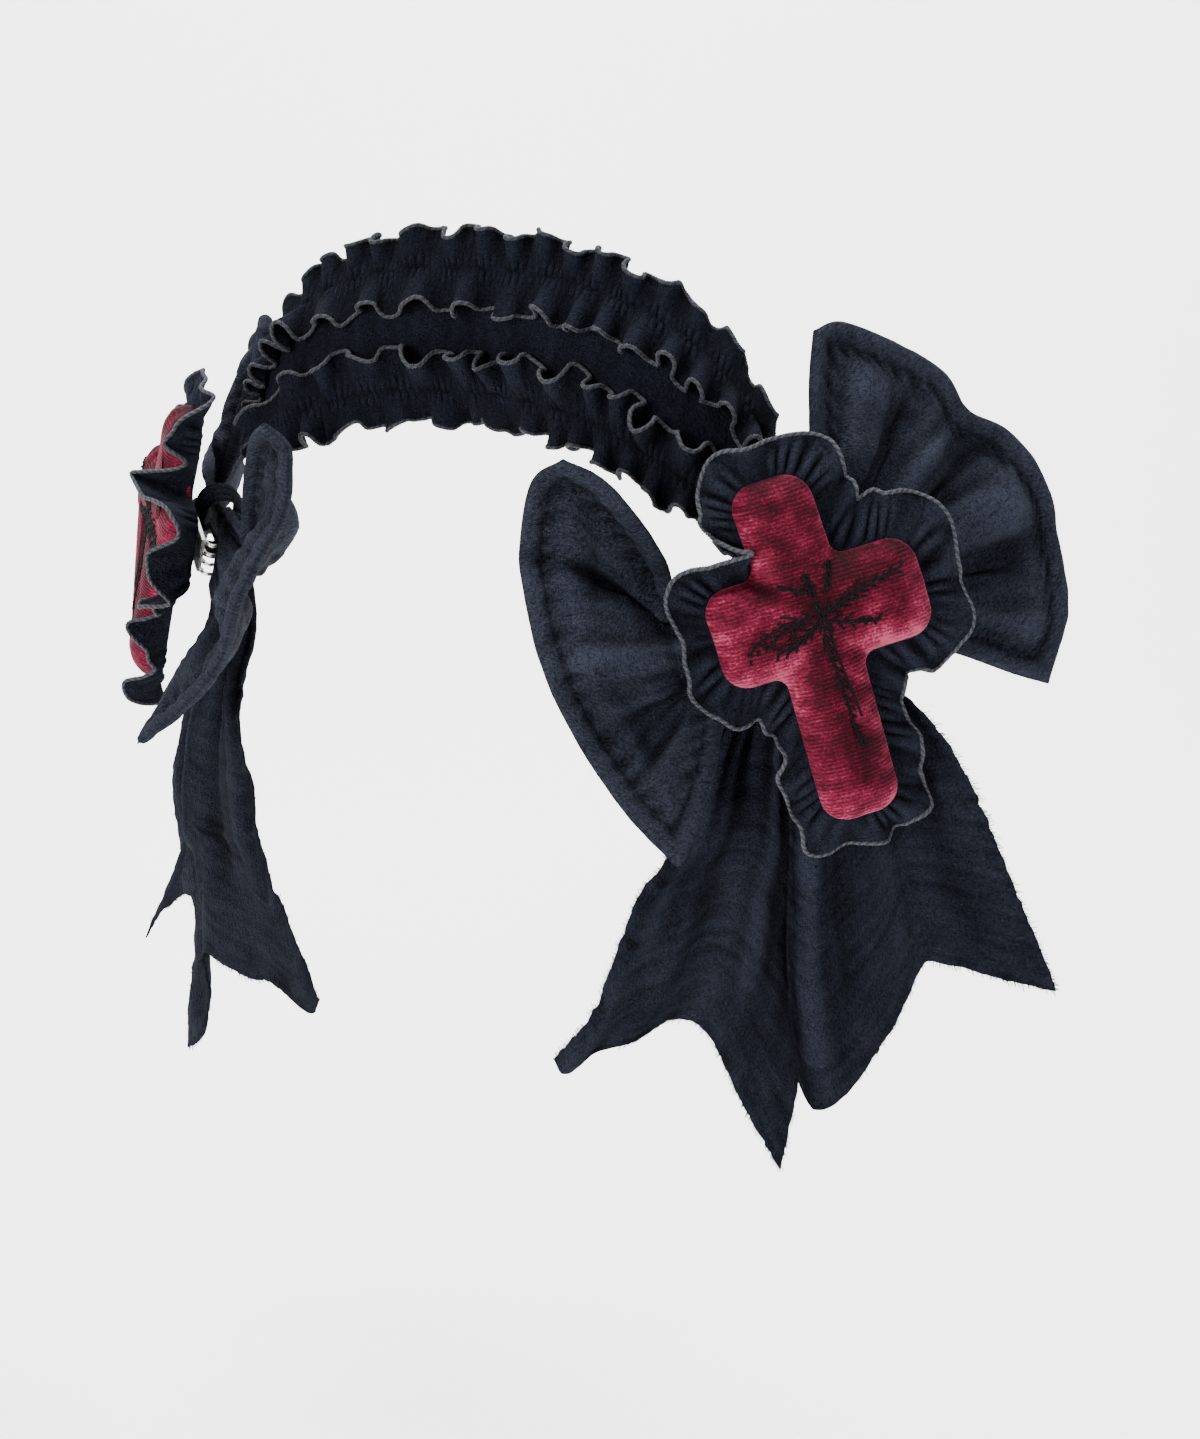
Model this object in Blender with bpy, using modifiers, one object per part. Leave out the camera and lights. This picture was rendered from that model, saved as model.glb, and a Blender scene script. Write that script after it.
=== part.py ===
"""Nurse headdress: a brim-shaped band with two gathered ruffles, and at each side
a padded bow, two pointed tails and a velvet cross with its own gathered frill.

+X is the wearer's left, the wearer faces -Y, +Z is up. The origin is on the
underside of the band, in the middle of its top, where it rests on the head.
Tables are in millimetres; everything is built in metres.
"""

import math

import bmesh
import bpy
from mathutils import Matrix, Vector

MM = 0.001

# ---------------------------------------------------------------- dimensions
BAND_THICK = 2.6  # two layers of cotton over a soft strip
BAND_CROWN = 2.5  # the band stands out this far between its edges
BAND_HALF = 0.74  # share of the half width that the band itself takes
BAND_STEPS = 36
CLOTH_THICK = 1.1  # double gauze with its turned edge

RUFFLE_WAVES = 30
RUFFLE_STEPS = 4  # steps in each wave
RUFFLE_SEAM = 0.65  # where the gathering thread runs, share of half width
RUFFLE_HALF = 0.35
RUFFLE_LIFT = 2.9  # ruffle seam above the middle of the band
RUFFLE_WAVE = 3.3  # half height of a wave at the free edge

PINCH_HALF = 6.2  # half height of the bow where the knot holds it
BOW_EDGE = 2.6  # thickness at the stitched rim
BOW_PUFF = 7.0  # thickness in the padded middle
BOW_STEPS = 11
BOW_ACROSS = 11

KNOT_HALF_LENGTH = 5.0
KNOT_INNER = (5.2, 9.8)  # depth, height
KNOT_THICK = 2.4

PAD_STEM = 11.4  # half width of the upright bar
PAD_ARM = 14.5  # half width of the cross bar
PAD_TOP = 40.3
PAD_BOTTOM = 59.9
PAD_FRONT = 28.2
PAD_BACK = 33.8
PAD_ROUND = 7.5
PAD_CORNER = 4.0
PAD_LEAN = 0.06

FRILL_WIDTH = 12.0
FRILL_TUCK = 3.0  # the frill runs this far in under the pad
FRILL_WAVES = 24
FRILL_WAVE = 2.2
FRILL_THICK = 1.0
FRILL_SPREAD = 9.0

FRILL_REACH = [
    # back, up, share of the full width that the frill reaches there
    (-12.0, 30.0, 0.66),
    (0.0, 41.0, 0.85),
    (12.0, 30.0, 1.10),
    (-29.0, 2.0, 0.90),
    (-24.0, -14.0, 0.95),
    (34.0, 2.0, 1.10),
    (24.0, -15.0, 0.95),
    (12.0, -32.0, 0.80),
    (-12.0, -32.0, 0.62),
    (-11.0, -56.0, 0.85),
    (11.0, -56.0, 0.85),
    (0.0, -60.0, 0.80),
]

# Inner face of the band in the middle of its top, in the coordinates of the
# tables below; finished pieces are moved so that it is the origin.
HEAD_SEAT = (0.0, 6.4, 0.0)

# ---------------------------------------------------------------- side frame
# Middle of the left cross, with its up, rearward and outward directions.
CROSS_AT = Vector((117.5, -8.8, -68.0))
CROSS_UP = Vector((-0.309, -0.032, 0.950)).normalized()
CROSS_OUT = Vector((0.604, -0.778, 0.171))
CROSS_OUT = (CROSS_OUT - CROSS_UP * CROSS_OUT.dot(CROSS_UP)).normalized()
CROSS_BACK = CROSS_OUT.cross(CROSS_UP) * -1.0
KNOT_DEEP = 14.0
KNOT_AT = CROSS_AT - CROSS_OUT * KNOT_DEEP

# Band with ruffles, from the middle of the top down the left side.
# front x, y, z of the front edge; back x, y, z of the back edge.
BAND_ROWS = [
    # fx,    fy,    fz,    bx,   by,    bz
    (0.0, 9.0, -27.0, 0.0, 6.0, 31.0),
    (22.0, 3.0, -27.5, 24.0, 7.0, 29.5),
    (42.0, -2.0, -30.5, 46.0, 8.5, 24.0),
    (58.0, -5.0, -36.0, 64.0, 11.0, 16.0),
    (70.0, -6.0, -42.0, 77.0, 14.0, 5.0),
    (79.0, -4.0, -47.0, 86.0, 16.0, -8.0),
    (84.5, 0.5, -54.0, 92.0, 18.0, -22.0),
    (87.5, 5.0, -62.0, 94.0, 20.0, -36.0),
    (89.5, 9.0, -69.0, 95.5, 21.0, -48.0),
]

# Outer rims of the bow, from the top corner to the bottom corner: x, y, z.
FRONT_RIM = [
    (53.5, -37.0, -25.0),
    (43.5, -38.0, -32.5),
    (42.5, -43.0, -51.0),
    (48.0, -49.0, -63.5),
    (55.5, -53.0, -80.5),
    (66.0, -51.0, -102.0),
    (80.5, -49.0, -121.0),
    (96.5, -48.0, -134.0),
]
REAR_RIM = [
    (101.0, 24.0, 6.5),
    (106.5, 32.0, 8.5),
    (119.0, 44.0, 1.5),
    (130.0, 54.0, -7.0),
    (136.0, 60.0, -18.5),
    (147.0, 68.0, -25.5),
    (156.5, 74.0, -39.5),
    (163.0, 75.0, -60.0),
    (169.0, 68.0, -78.0),
    (168.5, 56.0, -98.5),
]
# Upper and lower sides of each loop, from the knot outwards: x, y, z.
FRONT_TOP = [
    (96.0, -8.0, -62.5),
    (81.5, -18.0, -65.5),
    (77.5, -20.5, -54.5),
    (71.5, -25.0, -42.5),
    (63.5, -31.0, -31.0),
]
FRONT_BOTTOM = [
    (103.5, -7.0, -86.5),
    (96.5, -18.0, -101.0),
    (96.5, -26.0, -113.0),
    (96.0, -33.5, -122.5),
    (96.5, -41.5, -130.0),
]
REAR_TOP = [
    (107.5, 9.0, -46.0),
    (104.5, 16.0, -24.0),
    (102.0, 20.0, -7.0),
]
REAR_BOTTOM = [
    (121.0, 10.0, -78.0),
    (133.0, 19.0, -79.0),
    (148.0, 35.0, -87.0),
    (160.0, 48.0, -94.5),
]

# Folds that run out from the knot: share of the height at the knot and at the
# rim, half width as a share of the height, rise in mm, where it starts and ends.
FRONT_FOLDS = [
    # knot, rim, half, rise, start, end
    (0.30, 0.24, 0.11, -7.0, 0.25, 0.86),
    (0.52, 0.50, 0.12, 3.5, 0.30, 0.95),
    (0.72, 0.74, 0.08, -3.5, 0.35, 0.88),
    (0.88, 0.90, 0.08, 2.0, 0.35, 0.98),
]
REAR_FOLDS = [
    (0.15, 0.10, 0.08, 3.0, 0.20, 0.90),
    (0.30, 0.24, 0.08, -5.0, 0.25, 0.90),
    (0.42, 0.36, 0.06, 3.5, 0.30, 0.85),
    (0.50, 0.47, 0.06, -5.0, 0.35, 1.00),
    (0.62, 0.60, 0.08, 3.5, 0.25, 0.92),
    (0.75, 0.76, 0.07, -4.0, 0.30, 0.88),
    (0.88, 0.90, 0.08, 2.5, 0.30, 0.95),
]

# Tails: sides from the knot down, and the hem from the front point backwards.
LEFT_FRONT_FORE = [
    (102.0, 9.0, -83.0),
    (92.5, -3.0, -99.0),
    (85.0, -11.0, -120.0),
    (81.0, -20.0, -145.5),
    (72.0, -24.5, -161.0),
    (63.0, -29.0, -188.0),
    (57.0, -31.0, -203.0),
    (46.0, -33.0, -218.0),
]
LEFT_FRONT_HEM = [
    (46.0, -33.0, -218.0),
    (51.0, -33.0, -222.0),
    (60.0, -30.0, -213.5),
    (71.5, -27.5, -208.0),
    (84.0, -25.0, -198.0),
    (95.0, -23.0, -200.0),
    (105.0, -20.0, -221.5),
    (117.5, -15.0, -246.0),
]
LEFT_FRONT_AFT = [
    (107.0, 12.5, -84.0),
    (111.0, 9.0, -106.0),
    (114.5, 6.0, -140.0),
    (117.5, 1.0, -175.0),
    (119.5, -4.0, -202.0),
    (119.0, -9.5, -226.0),
    (117.5, -15.0, -246.0),
]
LEFT_BACK_FORE = [
    (110.0, 6.0, -86.0),
    (110.5, -1.0, -112.0),
    (113.0, -7.0, -146.5),
    (117.0, -14.0, -180.0),
    (123.5, -17.0, -213.0),
]
LEFT_BACK_HEM = [
    (123.5, -17.0, -213.0),
    (127.5, -15.0, -221.0),
    (133.0, -13.0, -220.0),
    (137.5, -7.0, -214.0),
    (146.0, 0.0, -195.5),
    (152.0, 5.0, -176.5),
    (156.5, 8.0, -174.5),
    (174.5, 18.0, -180.0),
    (188.0, 25.0, -183.5),
]
LEFT_BACK_AFT = [
    (116.0, 11.0, -86.0),
    (133.0, 17.0, -94.0),
    (146.0, 19.0, -104.0),
    (157.5, 20.0, -119.0),
    (166.0, 21.0, -136.0),
    (175.0, 23.0, -156.0),
    (183.5, 24.5, -174.0),
    (188.0, 25.0, -183.5),
]
# The right pair hangs longer, and its back tail is turned edge-on; x is outwards.
RIGHT_FRONT_FORE = [
    (102.0, 9.0, -83.0),
    (92.5, -3.0, -99.0),
    (88.0, -24.0, -124.0),
    (83.5, -27.0, -150.0),
    (77.5, -29.0, -166.5),
    (68.0, -30.0, -184.5),
    (55.0, -32.0, -205.5),
    (47.0, -33.0, -222.0),
]
RIGHT_FRONT_HEM = [
    (47.0, -33.0, -222.0),
    (51.5, -33.0, -228.5),
    (67.0, -31.0, -222.5),
    (78.5, -30.0, -223.0),
    (95.0, -28.0, -222.0),
    (102.5, -26.0, -221.0),
    (105.0, -24.0, -235.5),
    (107.5, -22.0, -248.5),
    (111.5, -21.0, -259.0),
    (122.5, -19.0, -268.5),
]
RIGHT_FRONT_AFT = [
    (107.0, 12.5, -84.0),
    (111.0, 9.0, -106.0),
    (132.0, -2.0, -202.0),
    (125.5, -6.0, -214.0),
    (123.5, -10.0, -232.0),
    (123.0, -14.0, -245.5),
    (122.5, -19.0, -268.5),
]
RIGHT_BACK_FORE = [
    (110.0, 14.0, -86.0),
    (129.5, 11.0, -141.5),
    (135.5, 8.0, -173.0),
    (134.5, 5.0, -204.0),
    (131.5, 4.0, -224.5),
]
RIGHT_BACK_HEM = [
    (131.5, 4.0, -224.5),
    (136.5, 8.0, -221.5),
    (143.5, 11.0, -221.0),
    (159.0, 13.0, -233.0),
    (174.5, 15.0, -249.5),
]
RIGHT_BACK_AFT = [
    (116.0, 17.0, -86.0),
    (131.0, 16.0, -120.0),
    (152.0, 24.0, -157.5),
    (164.5, 28.0, -194.0),
    (158.5, 24.0, -222.5),
    (167.5, 19.0, -235.0),
    (174.5, 15.0, -249.5),
]
# Folds down a tail: share of its width at the knot and at the hem, half width,
# rise in mm, where it starts and ends.
TAIL_FRONT_FOLDS = [
    (0.18, 0.12, 0.07, 2.5, 0.05, 0.75),
    (0.40, 0.36, 0.08, -3.0, 0.05, 0.85),
    (0.62, 0.60, 0.07, 3.0, 0.05, 0.90),
    (0.82, 0.84, 0.06, -2.0, 0.05, 0.80),
]
TAIL_BACK_FOLDS = [
    (0.12, 0.10, 0.06, 2.5, 0.05, 0.95),
    (0.32, 0.28, 0.08, -3.0, 0.10, 0.90),
    (0.55, 0.52, 0.08, 2.5, 0.10, 0.95),
    (0.78, 0.80, 0.08, -2.5, 0.10, 0.90),
]

TAILS = {
    "left": (
        (LEFT_FRONT_FORE, LEFT_FRONT_HEM, LEFT_FRONT_AFT),
        (LEFT_BACK_FORE, LEFT_BACK_HEM, LEFT_BACK_AFT),
    ),
    "right": (
        (RIGHT_FRONT_FORE, RIGHT_FRONT_HEM, RIGHT_FRONT_AFT),
        (RIGHT_BACK_FORE, RIGHT_BACK_HEM, RIGHT_BACK_AFT),
    ),
}
# The right rear loop sags by this much at its rim.
REAR_SAG = {1.0: 0.0, -1.0: 13.0}

COLOURS = {
    "cotton": ((0.012, 0.013, 0.018, 1.0), 0.0, 0.95),
    "velvet": ((0.200, 0.010, 0.026, 1.0), 0.0, 0.80),
    "nickel": ((0.620, 0.610, 0.590, 1.0), 1.0, 0.30),
}


# ------------------------------------------------------------------- helpers
def smooth(x, low, high):
    """0 below low, 1 above high, eased between."""
    x = min(max((x - low) / (high - low), 0.0), 1.0)
    return x * x * (3.0 - 2.0 * x)


def along(rows, t):
    """Point at share t of a smooth curve through the rows, by length."""
    pts = [Vector(r) for r in rows]
    steps = [0.0]
    for a, b in zip(pts, pts[1:]):
        steps.append(steps[-1] + (b - a).length)
    want = min(max(t, 0.0), 1.0) * steps[-1]
    k = 0
    while k < len(pts) - 2 and steps[k + 1] < want:
        k += 1
    span = steps[k + 1] - steps[k]
    f = (want - steps[k]) / span
    p1, p2 = pts[k], pts[k + 1]
    p0 = pts[k - 1] if k else p1 * 2 - p2
    p3 = pts[k + 2] if k + 2 < len(pts) else p2 * 2 - p1
    m1 = (p2 - p0) * 0.5
    m2 = (p3 - p1) * 0.5
    f2, f3 = f * f, f * f * f
    return (
        p1 * (2 * f3 - 3 * f2 + 1)
        + m1 * (f3 - 2 * f2 + f)
        + p2 * (3 * f2 - 2 * f3)
        + m2 * (f3 - f2)
    )


def patch(start, end, first, last, u, v):
    """Point of the surface between four curves that share their corners."""
    s, e = along(start, v), along(end, v)
    a, b = along(first, u), along(last, u)
    c00, c01 = Vector(start[0]), Vector(start[-1])
    c10, c11 = Vector(end[0]), Vector(end[-1])
    flat = (c00 * (1 - v) + c01 * v) * (1 - u) + (c10 * (1 - v) + c11 * v) * u
    return s * (1 - u) + e * u + a * (1 - v) + b * v - flat


def fold_rise(folds, u, v):
    """Sum of the folds at share u from the knot and v across."""
    rise = 0.0
    for at_knot, at_end, half, height, start, end in folds:
        middle = at_knot + (at_end - at_knot) * u
        x = (v - middle) / half
        fade = smooth(u, start * 0.3, start + 0.2) * (1 - smooth(u, end - 0.15, end + 0.02))
        rise += height * math.exp(-x * x) * fade
    return rise


def material(name, kind):
    colour, metallic, rough = COLOURS[kind]
    mat = bpy.data.materials.new(name)
    mat.use_nodes = True
    bsdf = mat.node_tree.nodes["Principled BSDF"]
    bsdf.inputs["Base Color"].default_value = colour
    bsdf.inputs["Metallic"].default_value = metallic
    bsdf.inputs["Roughness"].default_value = rough
    mat.diffuse_color = colour
    return mat


def finish(name, bm, kind):
    """Object in metres from a bmesh in millimetres."""
    bm.normal_update()
    bmesh.ops.recalc_face_normals(bm, faces=bm.faces)
    bmesh.ops.translate(bm, vec=Vector(HEAD_SEAT) * -1.0, verts=bm.verts)
    bmesh.ops.scale(bm, vec=(MM, MM, MM), verts=bm.verts)
    mesh = bpy.data.meshes.new(name)
    bm.to_mesh(mesh)
    bm.free()
    mesh.polygons.foreach_set("use_smooth", [True] * len(mesh.polygons))
    obj = bpy.data.objects.new(name, mesh)
    HOME.objects.link(obj)
    mesh.materials.append(material(name + "_" + kind, kind))
    return obj


def grid(rows, closed=False):
    """Open sheet of quads through rows of points."""
    bm = bmesh.new()
    verts = [[bm.verts.new(p) for p in row] for row in rows]
    count = len(verts)
    for i in range(count if closed else count - 1):
        a, b = verts[i], verts[(i + 1) % count]
        for j in range(len(a) - 1):
            bm.faces.new((a[j], a[j + 1], b[j + 1], b[j]))
    return bm


def cloth(name, rows, thick, kind="cotton", closed=False, weights=None, least=1.0):
    """Sheet with an even or a weighted thickness, about its middle."""
    obj = finish(name, grid(rows, closed), kind)
    mod = obj.modifiers.new("thickness", "SOLIDIFY")
    mod.thickness = thick * MM
    mod.offset = 0.0
    mod.use_rim = True
    if weights:
        group = obj.vertex_groups.new(name="padding")
        flat = [w for row in weights for w in row]
        for i, w in enumerate(flat):
            group.add([i], w, "REPLACE")
        mod.vertex_group = "padding"
        mod.thickness_vertex_group = least
    return obj


def mirrored(p, side):
    return Vector((p[0] * side, p[1], p[2]))


# ---------------------------------------------------------------------- band
def band_point(t, s):
    """t runs from -1 (right end) to 1 (left end), s from -1 (front) to 1 (back)."""
    side = 1.0 if t >= 0 else -1.0
    mirror = (-1.0, 1.0, 1.0, -1.0, 1.0, 1.0)
    rows = BAND_ROWS
    # one row past the middle keeps the curve level where the halves meet
    x = abs(t) * (len(rows) - 1)
    k = min(int(x), len(rows) - 2)
    f = x - k
    p1, p2 = rows[k], rows[k + 1]
    p0 = rows[k - 1] if k else [m * c for m, c in zip(mirror, rows[1])]
    p3 = rows[k + 2] if k + 2 < len(rows) else [2 * b - a for a, b in zip(p1, p2)]
    out = []
    for a, b, c, d in zip(p0, p1, p2, p3):
        m1, m2 = (c - a) / 2, (d - b) / 2
        f2, f3 = f * f, f * f * f
        out.append(
            b * (2 * f3 - 3 * f2 + 1)
            + m1 * (f3 - 2 * f2 + f)
            + c * (3 * f2 - 2 * f3)
            + m2 * (f3 - f2)
        )
    front, back = Vector(out[:3]), Vector(out[3:])
    point = front.lerp(back, (s + 1) / 2)
    return mirrored(point, side)


def band_normal(t, s):
    d = 0.004
    a = band_point(min(t + d, 1), s) - band_point(max(t - d, -1), s)
    b = band_point(t, s + d) - band_point(t, s - d)
    return a.cross(b).normalized()


def band_surface(t, s, lift):
    crown = BAND_CROWN * (1 - s * s)
    return band_point(t, s) + band_normal(t, s) * (crown + lift)


def build_band():
    rows = []
    for i in range(BAND_STEPS + 1):
        t = -1 + 2 * i / BAND_STEPS
        rows.append([band_surface(t, BAND_HALF * k / 2, 0.0) for k in range(-2, 3)])
    cloth("band", rows, BAND_THICK)


def build_ruffle(name, seam, turn):
    """A strip gathered along its middle, both edges free and waving."""
    count = RUFFLE_WAVES * RUFFLE_STEPS
    rows = []
    for i in range(count + 1):
        t = (-1 + 2 * i / count) * 0.96
        swing = 2 * math.pi * RUFFLE_WAVES * i / count + turn
        vary = 1 + 0.25 * math.sin(swing * 0.37 + turn) + 0.15 * math.sin(swing * 0.61)
        taper = 1 - 0.75 * smooth(abs(t), 0.62, 0.85)
        row = []
        for w in (-1.0, -0.55, 0.0, 0.55, 1.0):
            s = seam + RUFFLE_HALF * w
            high = RUFFLE_WAVE * vary * taper * abs(w) ** 0.8
            phase = swing + (1.1 if w > 0 else 0.0)
            lift = RUFFLE_LIFT * (0.85 + 0.15 * taper) + high * (1 + math.sin(phase)) * 0.9
            shift = 0.010 * math.sin(2 * phase) * abs(w) * taper
            wide = 0.035 * math.cos(phase + 0.6) * w * taper
            row.append(band_surface(min(max(t + shift, -1), 1), s + wide, lift))
        rows.append(row)
    cloth(name, rows, CLOTH_THICK)


# ----------------------------------------------------------------------- bow
def bow_frame():
    top = KNOT_AT + CROSS_UP * PINCH_HALF
    bottom = KNOT_AT - CROSS_UP * PINCH_HALF
    return top, bottom


def exit_point(sign, height):
    """Where a loop leaves the knot, so that it clears the wrap."""
    return KNOT_AT + CROSS_BACK * (KNOT_HALF_LENGTH + 1.5) * sign + CROSS_UP * height


def loop_point(which, u, v):
    top, bottom = bow_frame()
    if which == "front":
        rim, upper, lower, folds = FRONT_RIM, FRONT_TOP, FRONT_BOTTOM, FRONT_FOLDS
        sign = -1
    else:
        rim, upper, lower, folds = REAR_RIM, REAR_TOP, REAR_BOTTOM, REAR_FOLDS
        sign = 1
    first = [top, exit_point(sign, PINCH_HALF + 1.2), *upper, rim[0]]
    last = [bottom, exit_point(sign, -PINCH_HALF - 1.2), *lower, rim[-1]]
    point = patch([top, bottom], rim, first, last, u, v)
    edge = smooth(v, 0.0, 0.12) * (1 - smooth(v, 0.88, 1.0))
    return point + CROSS_OUT * fold_rise(folds, u, v) * edge


def build_bow(name, side):
    rows, weights = [], []
    shares = [(k / BOW_STEPS) ** 1.15 for k in range(BOW_STEPS + 1)]
    order = [("front", u) for u in reversed(shares)] + [("rear", u) for u in shares[1:]]
    for which, u in order:
        row, weight = [], []
        for j in range(BOW_ACROSS + 1):
            v = j / BOW_ACROSS
            point = loop_point(which, u, v)
            if which == "rear":
                point.z -= REAR_SAG[side] * u * (1 - v)
            row.append(mirrored(point, side))
            inside = smooth(v, 0.0, 0.10) * (1 - smooth(v, 0.90, 1.0))
            weight.append(inside * (1 - smooth(u, 0.90, 1.0)) * (0.2 + 0.8 * smooth(u, 0.12, 0.45)))
        rows.append(row)
        weights.append(weight)
    cloth(name, rows, BOW_PUFF, weights=weights, least=BOW_EDGE / BOW_PUFF)


def build_knot(name, side):
    """A strip wrapped once round the middle of the bow."""
    deep, tall = KNOT_INNER
    rows = []
    count = 18
    for i in range(count):
        a = 2 * math.pi * i / count
        c, s = math.cos(a), math.sin(a)
        x = math.copysign(abs(c) ** 0.75, c) * (deep + KNOT_THICK / 2)
        y = math.copysign(abs(s) ** 0.75, s) * (tall + KNOT_THICK / 2)
        row = []
        for k in (-1.0, 0.0, 1.0):
            bulge = 0.9 * (1 - k * k)
            centre = KNOT_AT + CROSS_BACK * KNOT_HALF_LENGTH * k
            row.append(mirrored(centre + CROSS_OUT * (x + bulge * c) + CROSS_UP * (y + bulge * s), side))
        rows.append(row)
    cloth(name, rows, KNOT_THICK, closed=True)


# --------------------------------------------------------------------- tails
def build_tail(name, side, outline, folds):
    left, hem, right = outline
    top = [left[0], right[0]]
    rows = []
    down, across = 10, 14
    for i in range(down + 1):
        u = i / down
        row = []
        for j in range(across + 1):
            v = j / across
            point = patch(top, hem, left, right, u, v)
            edge = smooth(v, 0.0, 0.10) * (1 - smooth(v, 0.90, 1.0))
            row.append(mirrored(point + CROSS_OUT * fold_rise(folds, u, v) * edge, side))
        rows.append(row)
    cloth(name, rows, CLOTH_THICK)


# --------------------------------------------------------------------- cross
def cross_outline(grow, inner=0.0):
    """Rounded cross, grown by a margin: (back, up) points, the same count always."""
    stem, arm = PAD_STEM + grow, PAD_ARM + grow
    top, bottom = PAD_TOP + grow, PAD_BOTTOM + grow
    front, back = PAD_FRONT + grow, PAD_BACK + grow
    corners = [
        (-stem, top, 1), (stem, top, 1), (stem, arm, 0), (back, arm, 1),
        (back, -arm, 1), (stem, -arm, 0), (stem, -bottom, 1), (-stem, -bottom, 1),
        (-stem, -arm, 0), (-front, -arm, 1), (-front, arm, 1), (-stem, arm, 0),
    ]
    out = []
    count = len(corners)
    for i, (x, y, outside) in enumerate(corners):
        px, py, _ = corners[i - 1]
        nx, ny, _ = corners[(i + 1) % count]
        here = Vector((x, y))
        a = (Vector((px, py)) - here).normalized()
        b = (Vector((nx, ny)) - here).normalized()
        radius = PAD_ROUND + 0.6 * grow if outside else PAD_CORNER - 0.25 * grow
        radius = min(max(radius, 0.8), stem * 0.96)
        centre = here + (a + b) * radius
        steps = 3
        for k in range(steps + 1):
            f = k / steps * math.pi / 2
            out.append(centre - b * radius * math.cos(f) - a * radius * math.sin(f))
        # points on the straight run to the next corner
        nxt = corners[(i + 1) % count]
        far = PAD_ROUND + 0.6 * grow if nxt[2] else PAD_CORNER - 0.25 * grow
        far = min(max(far, 0.8), stem * 0.96)
        start = here + b * radius
        stop = Vector((nx, ny)) - b * far
        runs = 5 if (Vector(nxt[:2]) - here).length > 40 else 2
        runs = 5 if i in (5, 7) else 2
        for k in range(1, runs + 1):
            out.append(start.lerp(stop, k / (runs + 1)))
    return out


def on_cross(point, out):
    """The upper arm leans a little towards the front."""
    point = Vector((point[0] - PAD_LEAN * max(point[1], 0.0), point[1]))
    return CROSS_AT + CROSS_BACK * point[0] + CROSS_UP * point[1] + CROSS_OUT * out


def build_pad(name, side):
    """Puffed pad: rings from the flat back over the edge to the top."""
    rings = [
        # margin, height
        (-1.2, 0.0),
        (0.0, 1.8),
        (-0.2, 3.6),
        (-1.6, 5.4),
        (-4.2, 7.0),
        (-7.2, 7.8),
    ]
    bm = bmesh.new()
    loops = []
    for margin, high in rings:
        loops.append([bm.verts.new(mirrored(on_cross(p, high), side)) for p in cross_outline(margin)])
    for a, b in zip(loops, loops[1:]):
        for i in range(len(a)):
            j = (i + 1) % len(a)
            bm.faces.new((a[i], a[j], b[j], b[i]))
    bm.faces.new(loops[0])
    bm.faces.new(loops[-1])
    finish(name, bm, "velvet")


def frill_reach(point):
    """Share of the full width of the frill near a point of the outline."""
    total = share = 0.0
    for back, up, reach in FRILL_REACH:
        d = (point[0] - back) ** 2 + (point[1] - up) ** 2
        w = math.exp(-d / (2 * FRILL_SPREAD ** 2)) + 1e-6
        total += w
        share += w * reach
    return share / total


def build_frill(name, side):
    """Gathered strip sewn in behind the edge of the pad."""
    levels = [
        # margin, share of the wave
        (-FRILL_TUCK, 0.0),
        (0.5, 0.12),
        (FRILL_WIDTH * 0.5, 0.6),
        (FRILL_WIDTH, 1.0),
    ]
    outlines = [cross_outline(m) for m, _ in levels]
    # resample all the outlines at the same shares of the middle one
    count = FRILL_WAVES * 4
    middle = outlines[2]
    lengths = [0.0]
    for a, b in zip(middle, middle[1:] + middle[:1]):
        lengths.append(lengths[-1] + (b - a).length)
    rows = []
    for i in range(count):
        want = lengths[-1] * i / count
        k = 0
        while lengths[k + 1] <= want:
            k += 1
        f = (want - lengths[k]) / (lengths[k + 1] - lengths[k])
        swing = 2 * math.pi * FRILL_WAVES * i / count
        row = []
        seam = outlines[1][k].lerp(outlines[1][(k + 1) % len(outlines[1])], f)
        for (margin, share), outline in zip(levels, outlines):
            p = outline[k].lerp(outline[(k + 1) % len(outline)], f)
            if margin > 1.0:
                p = seam.lerp(p, frill_reach(seam))
            wave = FRILL_WAVE * share * math.sin(swing + 0.4 * math.sin(swing * 0.3))
            row.append(mirrored(on_cross(p, -1.3 - 1.6 * share + wave), side))
        rows.append(row)
    cloth(name, rows, FRILL_THICK, closed=True)


def build_clip(name, side):
    """Small toothed clip on the back of the cross, one plain piece."""
    bm = bmesh.new()

    def box(back, up, out, size):
        made = bmesh.ops.create_cube(bm, size=1.0)["verts"]
        for vert in made:
            c = vert.co
            p = on_cross((back + c.x * size[0], up + c.y * size[1]), out + c.z * size[2])
            vert.co = mirrored(p, side)

    box(-16.0, 0.0, -4.2, (20.0, 12.0, 1.2))
    finish(name, bm, "nickel")


# --------------------------------------------------------------------- build
for old in list(bpy.data.objects):
    bpy.data.objects.remove(old, do_unlink=True)

HOME = bpy.data.collections.new("nurse_headdress")
bpy.context.scene.collection.children.link(HOME)

build_band()
build_ruffle("ruffle_front", -RUFFLE_SEAM, 0.0)
build_ruffle("ruffle_back", RUFFLE_SEAM, 1.7)
for word, side in (("left", 1.0), ("right", -1.0)):
    build_bow("bow_" + word, side)
    build_knot("knot_" + word, side)
    build_tail("tail_front_" + word, side, TAILS[word][0], TAIL_FRONT_FOLDS)
    build_tail("tail_back_" + word, side, TAILS[word][1], TAIL_BACK_FOLDS)
    build_pad("cross_pad_" + word, side)
    build_frill("cross_frill_" + word, side)
    build_clip("cross_clip_" + word, side)
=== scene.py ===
import math
import random

import bmesh
import bpy
import numpy as np
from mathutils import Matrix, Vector, noise
from mathutils.bvhtree import BVHTree


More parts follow.
